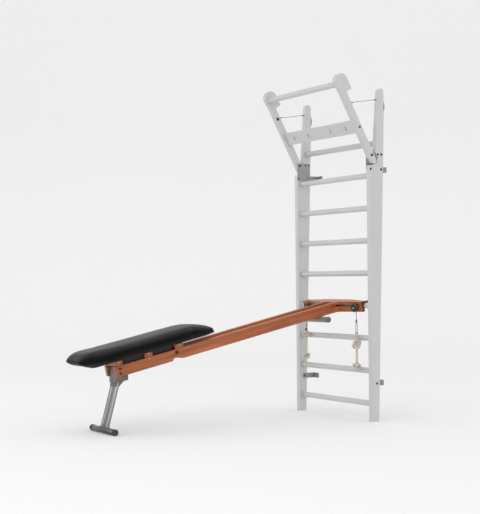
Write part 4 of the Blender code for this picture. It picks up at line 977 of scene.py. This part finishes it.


# Seat pad: foam under a black coated fabric with a fine pebble grain, and a painted sheen on top.
# The cover is drawn over the board's edge. Here it is let out by a short cloth simulation,
# in which no point moves further than the cap and the base stays flat.
PAD_FOOT = -1.954
PAD_BASE = 0.0746
PAD_CAP = 0.007
PAD_INSET = 0.004
PAD_RINGS = 90
# Along the seat: distance from the foot end, half width, rise of the underside, rise of the crown
PAD_STATIONS = (
    (0.000, 0.108, 0.039, 0.052), (0.005, 0.117, 0.034, 0.061), (0.014, 0.125, 0.028, 0.070),
    (0.036, 0.134, 0.021, 0.083), (0.062, 0.142, 0.015, 0.088), (0.100, 0.151, 0.008, 0.0895),
    (0.150, 0.160, 0.002, 0.088), (0.215, 0.165, 0.000, 0.0855), (0.340, 0.165, 0.000, 0.0835),
    (0.480, 0.164, 0.000, 0.0815), (0.660, 0.165, 0.000, 0.082), (0.760, 0.164, 0.000, 0.0815),
    (0.820, 0.158, 0.000, 0.0765), (0.870, 0.141, 0.000, 0.065), (0.910, 0.119, 0.000, 0.050),
    (0.945, 0.098, 0.000, 0.035), (0.968, 0.082, 0.000, 0.024), (0.976, 0.072, 0.000, 0.018))
PAD_LENGTH = PAD_STATIONS[-1][0]
# Half of the cross-section, as shares of the half width and of the height, from the base to the crown
PAD_SECTION = (
    (0.30, 0.0), (0.52, 0.003), (0.70, 0.03), (0.84, 0.10), (0.94, 0.215), (0.99, 0.36), (1.0, 0.48),
    (0.985, 0.62), (0.94, 0.77), (0.83, 0.89), (0.63, 0.96), (0.35, 0.99), (0.10, 1.0))


def leatherette():
    made = Finish("black_leatherette", "black_leatherette")
    pebble = made.cells(620, "SMOOTH_F1")
    broad = made.noise(7.0, (1, 1, 1), 3)
    normal = made.add("ShaderNodeNewGeometry", "Normal", {})
    top_sheen_mask = made.add("ShaderNodeSeparateXYZ", "Z", {0: normal})
    made.set("Base Color", made.mix(broad.ramp(0.3, 0.7), (0.0014, 0.0015, 0.0014), (0.0040, 0.0042, 0.0041)))
    made.set("Roughness", broad * 0.12 + pebble * 0.22 + 0.30)
    made.bump(pebble * 0.7 + broad * 0.5, 0.32, 0.0009)
    # Painted sheen: the coat is strongest where the surface faces up and fades on the sides.
    made.set("Coat Weight", top_sheen_mask.ramp(0.2, 0.9, 0.0, 0.52))
    made.set("Coat Roughness", 0.45)
    made.set("Specular IOR Level", 0.09)
    return made.material


def between(stations, y):
    for first, second in zip(stations, stations[1:]):
        if y <= second[0]:
            share = (y - first[0]) / (second[0] - first[0])
            return [a + (b - a) * share for a, b in zip(first[1:], second[1:])]
    return stations[-1][1:]


def foam():
    """The foam's form, a little inside the finished cover."""
    shape = bmesh.new()
    rings = []
    for i in range(PAD_RINGS + 1):
        y = PAD_LENGTH * (0.5 - 0.5 * cos(pi * i / PAD_RINGS))
        wide, under, crown = between(PAD_STATIONS, y)
        place = PAD_FOOT + PAD_INSET + y * (1 - 2 * PAD_INSET / PAD_LENGTH)
        tall = crown - PAD_INSET - under
        half = [((wide - PAD_INSET) * x, PAD_BASE + under + tall * z) for x, z in PAD_SECTION]
        rings.append([shape.verts.new((x, place, z)) for x, z in half + [(-x, z) for x, z in half[::-1]]])
    join_rings(shape, rings)
    close_ends(shape, rings)
    return finished(shape)


def applied(made):
    made.data = evaluated_mesh(made)
    made.modifiers.clear()
    return made.data


def swollen(made):
    remesh = made.modifiers.new("grid", "REMESH")
    remesh.mode = "VOXEL"
    remesh.voxel_size = 0.0062
    mesh = applied(made)
    rest = [vertex.co.copy() for vertex in mesh.vertices]
    cover = made.modifiers.new("cover", "CLOTH")
    cover.settings.quality = 4
    cover.settings.mass = 0.3
    cover.settings.tension_stiffness = 18
    cover.settings.compression_stiffness = 18
    cover.settings.bending_stiffness = 0.4
    cover.settings.use_pressure = True
    cover.settings.uniform_pressure_force = 4
    cover.settings.effector_weights.gravity = 0
    cover.collision_settings.use_collision = False
    for number in range(1, 21):
        bpy.context.scene.frame_set(number)
    mesh = applied(made)
    bpy.context.scene.frame_set(1)
    for vertex, start in zip(mesh.vertices, rest):
        shift = vertex.co - start
        if shift.length > PAD_CAP:
            shift *= PAD_CAP / shift.length
        if start.z < PAD_BASE + 0.004 and shift.z < 0:
            shift.z = 0
        if start.z > PAD_BASE + 0.020:
            shift.z += noise.noise(Vector((start.x * 9, start.y * 5, start.z * 9))) * 0.0016
        vertex.co = start + shift
    smooth = made.modifiers.new("smooth", "CORRECTIVE_SMOOTH")
    smooth.factor = 0.5
    smooth.iterations = 6
    smooth.use_only_smooth = True
    finer = made.modifiers.new("finer", "SUBSURF")
    finer.levels = 1
    finer.render_levels = 1
    return applied(made)


LEATHERETTE = leatherette()
form = link("foam", foam())
cover = swollen(form)
bpy.data.objects.remove(form)
piece("seat_pad", cover, LEATHERETTE, "trolley", "pad", matrix=BENCH, sharp=80)


# Pulleys: grey plastic sheaves, two in round black blocks on the front of the yoke
# and two lying flat on steel pins in its slot. A bright nut closes the axle of each block.
PULLEY_X = 0.283
PULLEY_Y = -0.0499
PULLEY_Z = -0.004
INNER_PULLEY = Vector((0.033, -0.040, 0.009))


def sheave(half, rim, root, bore, steps):
    """A wheel with a hub, a thinner web and a grooved rim."""
    upper = [(bore, half), (bore + 0.003, half), (bore + 0.0034, half - 0.0008), (rim - 0.003, half - 0.0008),
             (rim - 0.0025, half), (rim - 0.0004, half), (rim, half - 0.0006), (rim, half - 0.0012),
             (root + 0.0016, 0.0024), (root, 0.0014)]
    return lathe(doubled(upper), steps)


for side, sign in SIDES:
    place = BENCH @ at(sign * PULLEY_X, PULLEY_Y, PULLEY_Z)
    near, far = sorted((sign * -0.0238, sign * 0.040))
    slot = block((near, -0.0091, -0.05), (far, 0.0091, 0.05))
    case = moved(lathe(rod(0.028, 0.0242, 0.0025), 72), ALONG_Y)
    piece(f"pulley_case_{side}", case, BLACK_PLASTIC, "bench", f"pulley_block_{side}", matrix=place,
          edge=0.0008, cuts=[slot])
    axle = moved(lathe(rod(0.0038, 0.0250, 0.0006), 32), ALONG_Y)
    piece(f"pulley_axle_{side}", axle, BRIGHT_STEEL, "bench", f"pulley_block_{side}", matrix=place,
          slot="black_plastic")
    heads(f"pulley_nut_{side}", place, [((0, -0.0120, 0), (0, -1, 0), 0.0062)], BRIGHT_STEEL, "bench", 0.5)
for side, sign in SIDES:
    piece(f"sheave_{side}", sheave(0.0083, 0.0225, 0.0162, 0.0043, 64), GREY_PLASTIC, f"pulley_{side}",
          f"pulley_{side}", matrix=BENCH @ at(sign * PULLEY_X, PULLEY_Y, PULLEY_Z) @ ALONG_Y)
    place = BENCH @ at(sign * INNER_PULLEY.x, INNER_PULLEY.y, INNER_PULLEY.z)
    piece(f"inner_sheave_{side}", sheave(0.005, 0.0155, 0.0097, 0.0033, 56), GREY_PLASTIC,
          f"inner_pulley_{side}", f"inner_pulley_{side}", matrix=place)
    piece(f"inner_pin_{side}", lathe(rod(0.0029, 0.0146, 0.0003), 24), BRIGHT_STEEL, "bench", matrix=place)


# Guided cords: black braided cord from the keel's eyes under the seat to the inner pulleys.
# Each turns outwards there, runs through the yoke's slot and goes over the outer pulley.
CORD_RADIUS = 0.002
INNER_TURN = 0.012
OUTER_TURN = 0.0185
PULLEY_AXIS = BENCH @ Vector((0, PULLEY_Y, PULLEY_Z))


def braid():
    made = Finish("black_cord", "black_cord")
    weave = made.cells(1100)
    made.set("Base Color", made.mix(weave.ramp(0.1, 0.6), (0.045, 0.045, 0.045), (0.085, 0.085, 0.086)))
    made.set("Roughness", weave.ramp(0.0, 0.6, 0.62, 0.85))
    made.bump(weave, 0.6, 0.0004)
    made.set("Sheen Weight", 0.2)
    return made.material


def smooth_run(points, step=0.004):
    """The same route with points no further apart than the step."""
    path = [points[0]]
    for here, there in zip(points, points[1:]):
        count = max(1, ceil((there - here).length / step))
        path += [here.lerp(there, i / count) for i in range(1, count + 1)]
    return path


def cord(name, path, body, node):
    return piece(name, sweep(path, CORD_RADIUS), CORD, body, node, sharp=180)


CORD = braid()
for side, sign in SIDES:
    gap = INNER_PULLEY.x - INNER_TURN
    run = smooth_run([BENCH @ Vector((sign * gap, EYE_CENTRE[0], 0.0155)),
                      BENCH @ Vector((sign * gap, INNER_PULLEY.y, INNER_PULLEY.z))], 0.02)
    made = cord(f"keel_cord_{side}", run, None, f"cord_run_{side}")
    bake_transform(made)
    turn = [Vector((sign * (INNER_PULLEY.x - INNER_TURN * cos(a)), INNER_PULLEY.y + INNER_TURN * sin(a),
                    INNER_PULLEY.z)) for a in (pi / 2 * i / 12 for i in range(13))]
    over = [Vector((sign * (PULLEY_X + OUTER_TURN * sin(a)), PULLEY_Y, PULLEY_Z + OUTER_TURN * cos(a)))
            for a in (pi / 2 * i / 16 for i in range(17))]
    route = [BENCH @ point for point in turn + smooth_run([turn[-1], over[0]])[1:] + over[1:]]
    cord(f"guided_cord_{side}", route, "bench", f"cord_{side}")


# Right handle: the hanging cord is looped through a wire snap hook and crimped.
# The hook holds the eye of an undyed cotton rope with a ball knot and an end knot.
# The rope is laid from three strands, grown along its path.
HANG_X = 0.3015
HANG_Y = PULLEY_AXIS.y
CRIMP_LOW = 0.6430
HOOK_LOW = 0.5662
HOOK_HIGH = CRIMP_LOW - 0.0045
NARROW = 0.007
WIDE = 0.011
EYE_LEG = 0.006
ROPE_RADIUS = 0.008


def cotton():
    made = Finish("cotton_rope", "cotton_rope")
    fibre = made.noise(900.0, (1, 1, 0.4), 3, 0.7)
    patch = made.noise(60.0, (1, 1, 1), 3)
    cream = made.mix(patch.ramp(0.3, 0.7), (0.40, 0.33, 0.26), (0.66, 0.60, 0.52))
    made.set("Base Color", made.mix(fibre.ramp(0.35, 0.75), cream, (0.74, 0.69, 0.62)))
    made.set("Roughness", 0.9)
    made.bump(fibre, 0.5, 0.0006)
    made.set("Sheen Weight", 0.3)
    return made.material


def strand_tree():
    """Strands laid round a path: a helix about it for each strand, swept with a round profile."""
    tree = Tree("strands", Lay="Float", Offset="Float", Thickness="Float", Step="Float", Material="Material")
    path = tree.grow("MeshToCurve", "Curve", {"Mesh": tree.given("Geometry")})
    path = tree.grow("ResampleCurve", "Curve", {"Curve": path, "Length": tree.given("Step")}, mode="LENGTH")
    along = tree.grow("SplineParameter", "Length", {})
    tangent = tree.grow("InputTangent", "Tangent", {})
    normal = tree.grow("InputNormal", "Normal", {})
    across = tree.add("ShaderNodeVectorMath", "Vector", {0: tangent, 1: normal}, operation="CROSS_PRODUCT")
    ring = tree.grow("CurvePrimitiveCircle", "Curve", {"Resolution": 10, "Radius": tree.given("Thickness")})
    join = tree.tree.nodes.new("GeometryNodeJoinGeometry")
    for number in range(3):
        angle = along.math("DIVIDE", tree.given("Lay")) * (2 * pi) + number * 2 * pi / 3
        first = tree.add("ShaderNodeVectorMath", "Vector",
                         {0: normal, "Scale": angle.math("COSINE") * tree.given("Offset")}, operation="SCALE")
        second = tree.add("ShaderNodeVectorMath", "Vector",
                          {0: across, "Scale": angle.math("SINE") * tree.given("Offset")}, operation="SCALE")
        shift = tree.add("ShaderNodeVectorMath", "Vector", {0: first, 1: second}, operation="ADD")
        strand = tree.grow("SetPosition", "Geometry", {"Geometry": path, "Offset": shift})
        tree.give(join, 0, tree.grow("CurveToMesh", "Mesh", {"Curve": strand, "Profile Curve": ring,
                                                             "Fill Caps": True}))
    tree.end(Shade(tree, join.outputs[0]))
    return tree


COTTON = cotton()
STRAND_TREE = strand_tree()


def rope(name, path, radius, node, step=0.0012):
    """A three-strand rope of that radius along the path."""
    line = bpy.data.meshes.new("path")
    line.from_pydata([tuple(point) for point in path], [(i, i + 1) for i in range(len(path) - 1)], [])
    thickness = radius * 0.52
    mesh = grown(link("path", line), STRAND_TREE, Lay=radius * 5.5, Offset=radius - thickness,
                 Thickness=thickness, Step=step, Material=COTTON)
    return piece(name, mesh, COTTON, "bench", node, sharp=60)


def rope_knot(name, x, z, ring, swing, height, radius, node, turn):
    """A trefoil knot, drawn tight enough to close its middle."""
    path = []
    for i in range(241):
        a = 2 * pi * i / 240
        reach = ring + swing * cos(3 * a)
        path.append(Vector((x, HANG_Y, z)) + Vector((reach * cos(2 * a + turn), reach * sin(2 * a + turn),
                                                     height * sin(3 * a))))
    return rope(name, path, radius, node)


def hanging_rope(name, x, high, low, node, *knots):
    """The straight stretch of a handle between its knots."""
    path = smooth_run([Vector((x, HANG_Y, high)), Vector((x, HANG_Y, low))], 0.01)
    made = rope(name, path, ROPE_RADIUS, node, step=0.002)


def free_cord(side, x, low, loop=()):
    """The hanging end of a cord, from its pulley down, and round its loop if it ends in one."""
    path = smooth_run([Vector((x, HANG_Y, PULLEY_AXIS.z)), Vector((x, HANG_Y, low)), *loop], 0.008)
    return cord(f"free_cord_{side}", path, "bench", f"cord_{side}"), path


def declare_cord(made, path, *fittings):
    length = sum((there - here).length for here, there in zip(path, path[1:]))


def upright_arc(centre, radius, start, end, steps):
    """An arc across the rope's width, in the plane of Y and Z."""
    return [Vector((HANG_X, y, z)) for y, z in arc(centre, radius, start, end, steps)]


def snap_hook():
    """A wire hook, narrow at the cord and wide at the rope, closed by a sprung gate."""
    upper = Vector((HANG_X + NARROW, HANG_Y, HOOK_HIGH - NARROW))
    lower = Vector((HANG_X + WIDE, HANG_Y, HOOK_LOW + WIDE))
    gate_top = upper.lerp(lower, 0.12)
    gate_low = upper.lerp(lower, 0.80)
    bends = arc((HANG_X, upper.z), NARROW, 0, pi, 16) + arc((HANG_X, lower.z), WIDE, pi, 2 * pi, 22)
    loop = [gate_top, *(Vector((x, HANG_Y, z)) for x, z in bends), gate_low]
    wire = sweep(smooth_run(loop, 0.006), 0.0032, 20)
    way = (gate_top - gate_low).normalized()
    bar = lathe([(0.0, 0.5), (0.0028, 0.5), (0.0036, 0.494), (0.0036, -0.490), (0.0030, -0.5), (0.0, -0.5)],
                24)
    bar.transform(Matrix.Diagonal((1, 1, (gate_top - gate_low).length, 1)))
    bar.transform(at(*(gate_top + gate_low) / 2) @ Matrix.Rotation(atan2(way.x, way.z), 4, "Y"))
    rivet = moved(lathe(rod(0.0016, 0.0084, 0.0004), 20), at(*gate_low + way * 0.004) @ ALONG_Y)
    return [piece(name, mesh, BRIGHT_STEEL, "bench", "snap_hook")
            for name, mesh in (("snap_hook_wire", wire), ("snap_hook_gate", together([bar, rivet])))]


loop = upright_arc((HANG_Y, HOOK_HIGH), 0.0055, radians(112), radians(424), 30)
hanging, hanging_path = free_cord("right", HANG_X, CRIMP_LOW + 0.009, loop)
sleeve = lathe(doubled([(0.0, 0.0065), (0.0034, 0.0065), (0.0045, 0.0056), (0.0045, 0.0028),
                        (0.0040, 0.0020), (0.0045, 0.0012)]), 32)
crimp = piece("cord_crimp", sleeve, BLACK_PLASTIC, "bench", "cord_right",
              matrix=at(HANG_X, HANG_Y, CRIMP_LOW + 0.0065))
declare_cord(hanging, hanging_path, crimp, *snap_hook())
bow = upright_arc((HANG_Y, HOOK_LOW), 0.0078, pi, 0, 20)
legs = [Vector((HANG_X, HANG_Y + side * EYE_LEG, 0.505)) for side in (-1, 1)]
path = smooth_run([legs[0], bow[0]])[:-1] + bow + smooth_run([bow[-1], legs[1]])[1:]
eye = rope("rope_eye", path, 0.004, "rope_handle_right", 0.0008)
ball = rope_knot("rope_ball", HANG_X, 0.4955, 0.0160, 0.0095, 0.0235, 0.0088, "rope_handle_right", 0.4)
end = rope_knot("rope_end_right", HANG_X, 0.350, 0.0155, 0.0095, 0.0150, 0.0082, "rope_handle_right", 1.3)
hanging_rope("rope_right", HANG_X, 0.5100, 0.3600, "rope_handle_right", eye, ball, end)


# Left handle: the hanging cord ends in a black plastic toggle above a knot of its own cotton rope.
# The rope hangs down from that knot to an end knot.
TOGGLE_TOP = 0.5815
TOGGLE_HALF = 0.008

hanging, hanging_path = free_cord("left", -HANG_X, TOGGLE_TOP - 0.003)
barrel = lathe(doubled([(0.0, TOGGLE_HALF), (0.004, TOGGLE_HALF), (0.0062, 0.0068), (0.0075, 0.004)]), 40)
toggle = piece("cord_toggle_barrel", barrel, BLACK_PLASTIC, "bench", "cord_toggle",
               matrix=at(-HANG_X, HANG_Y, TOGGLE_TOP - TOGGLE_HALF))
knot = rope_knot("rope_knot_left", -HANG_X, 0.5445, 0.0135, 0.0080, 0.0125, 0.0075, "rope_handle_left", 2.1)
declare_cord(hanging, hanging_path, toggle, knot)
end = rope_knot("rope_end_left", -HANG_X, 0.390, 0.0145, 0.0090, 0.0142, 0.0078, "rope_handle_left", 0.2)
hanging_rope("rope_left", -HANG_X, 0.5320, 0.4000, "rope_handle_left", end)


# Stage: a pale matt floor that curves up into a backdrop, lit by an even world and two soft lamps.
# The camera stands where the photograph was taken from, a little turned and tipped.
CAMERA_PLACE = Vector((7.0348, HOOK.y - 4.8118, 0.9308))
CAMERA_YAW = radians(30.006)
CAMERA_RISE = radians(0.995)
CAMERA_ROLL = radians(-0.569)
LENS_MM = 87.76
FLOOR_REACH = 60.0
FLOOR_END = 6.0
COVE = 3.0
BACKDROP_TOP = 14.0
LAMPS = (("key", (4.5, -5.0, 4.5), 3.0, 50), ("fill", (-5.0, -4.0, 3.0), 4.0, 25))


def make_camera():
    level = cos(CAMERA_RISE)
    forward = Vector((-cos(CAMERA_YAW) * level, sin(CAMERA_YAW) * level, sin(CAMERA_RISE)))
    right = Vector((sin(CAMERA_YAW), cos(CAMERA_YAW), 0))
    up = right.cross(forward)
    turned_right = right * cos(CAMERA_ROLL) + up * sin(CAMERA_ROLL)
    turned_up = up * cos(CAMERA_ROLL) - right * sin(CAMERA_ROLL)
    data = bpy.data.cameras.new("camera")
    data.lens = LENS_MM
    data.sensor_width = 36
    data.clip_end = 100
    camera = link("camera", data)
    turned = Matrix((turned_right, turned_up, -forward)).transposed()
    camera.matrix_world = at(*CAMERA_PLACE) @ turned.to_4x4()
    bpy.context.scene.camera = camera


def make_floor():
    cove = arc((FLOOR_END, COVE), COVE, -pi / 2, 0, 12)
    rows = [(-FLOOR_REACH, 0.0), *cove, (FLOOR_END + COVE, BACKDROP_TOP)]
    sheet = bmesh.new()
    edges = [[sheet.verts.new((x, y, z)) for y, z in rows] for x in (-FLOOR_REACH, FLOOR_REACH)]
    for i in range(len(rows) - 1):
        sheet.faces.new((edges[0][i], edges[1][i], edges[1][i + 1], edges[0][i + 1]))
    mesh = moved(finished(sheet, outward=False), Matrix.Rotation(pi / 2 - CAMERA_YAW, 4, "Z"))
    mesh.shade_smooth()
    paint = Finish("backdrop", "stage")
    paint.set("Base Color", (0.85, 0.85, 0.85, 1.0))
    paint.set("Roughness", 0.95)
    mesh.materials.append(paint.material)
    link("floor_and_backdrop", mesh)


def make_lamps():
    for name, place, size, power in LAMPS:
        data = bpy.data.lights.new(name, "AREA")
        data.shape = "RECTANGLE"
        data.size = size
        data.size_y = 3.0
        data.energy = power
        lamp = link(name, data)
        lamp.location = place
        lamp.rotation_euler = (Vector((0, 0, 1.0)) - Vector(place)).to_track_quat("-Z", "Y").to_euler()
    world = bpy.data.worlds.new("studio")
    world.use_nodes = True
    world.node_tree.nodes["Background"].inputs["Color"].default_value = (1, 1, 1, 1)
    world.node_tree.nodes["Background"].inputs["Strength"].default_value = 1.06
    bpy.context.scene.world = world


make_camera()
make_floor()
make_lamps()
bpy.context.scene.view_settings.view_transform = "Standard"
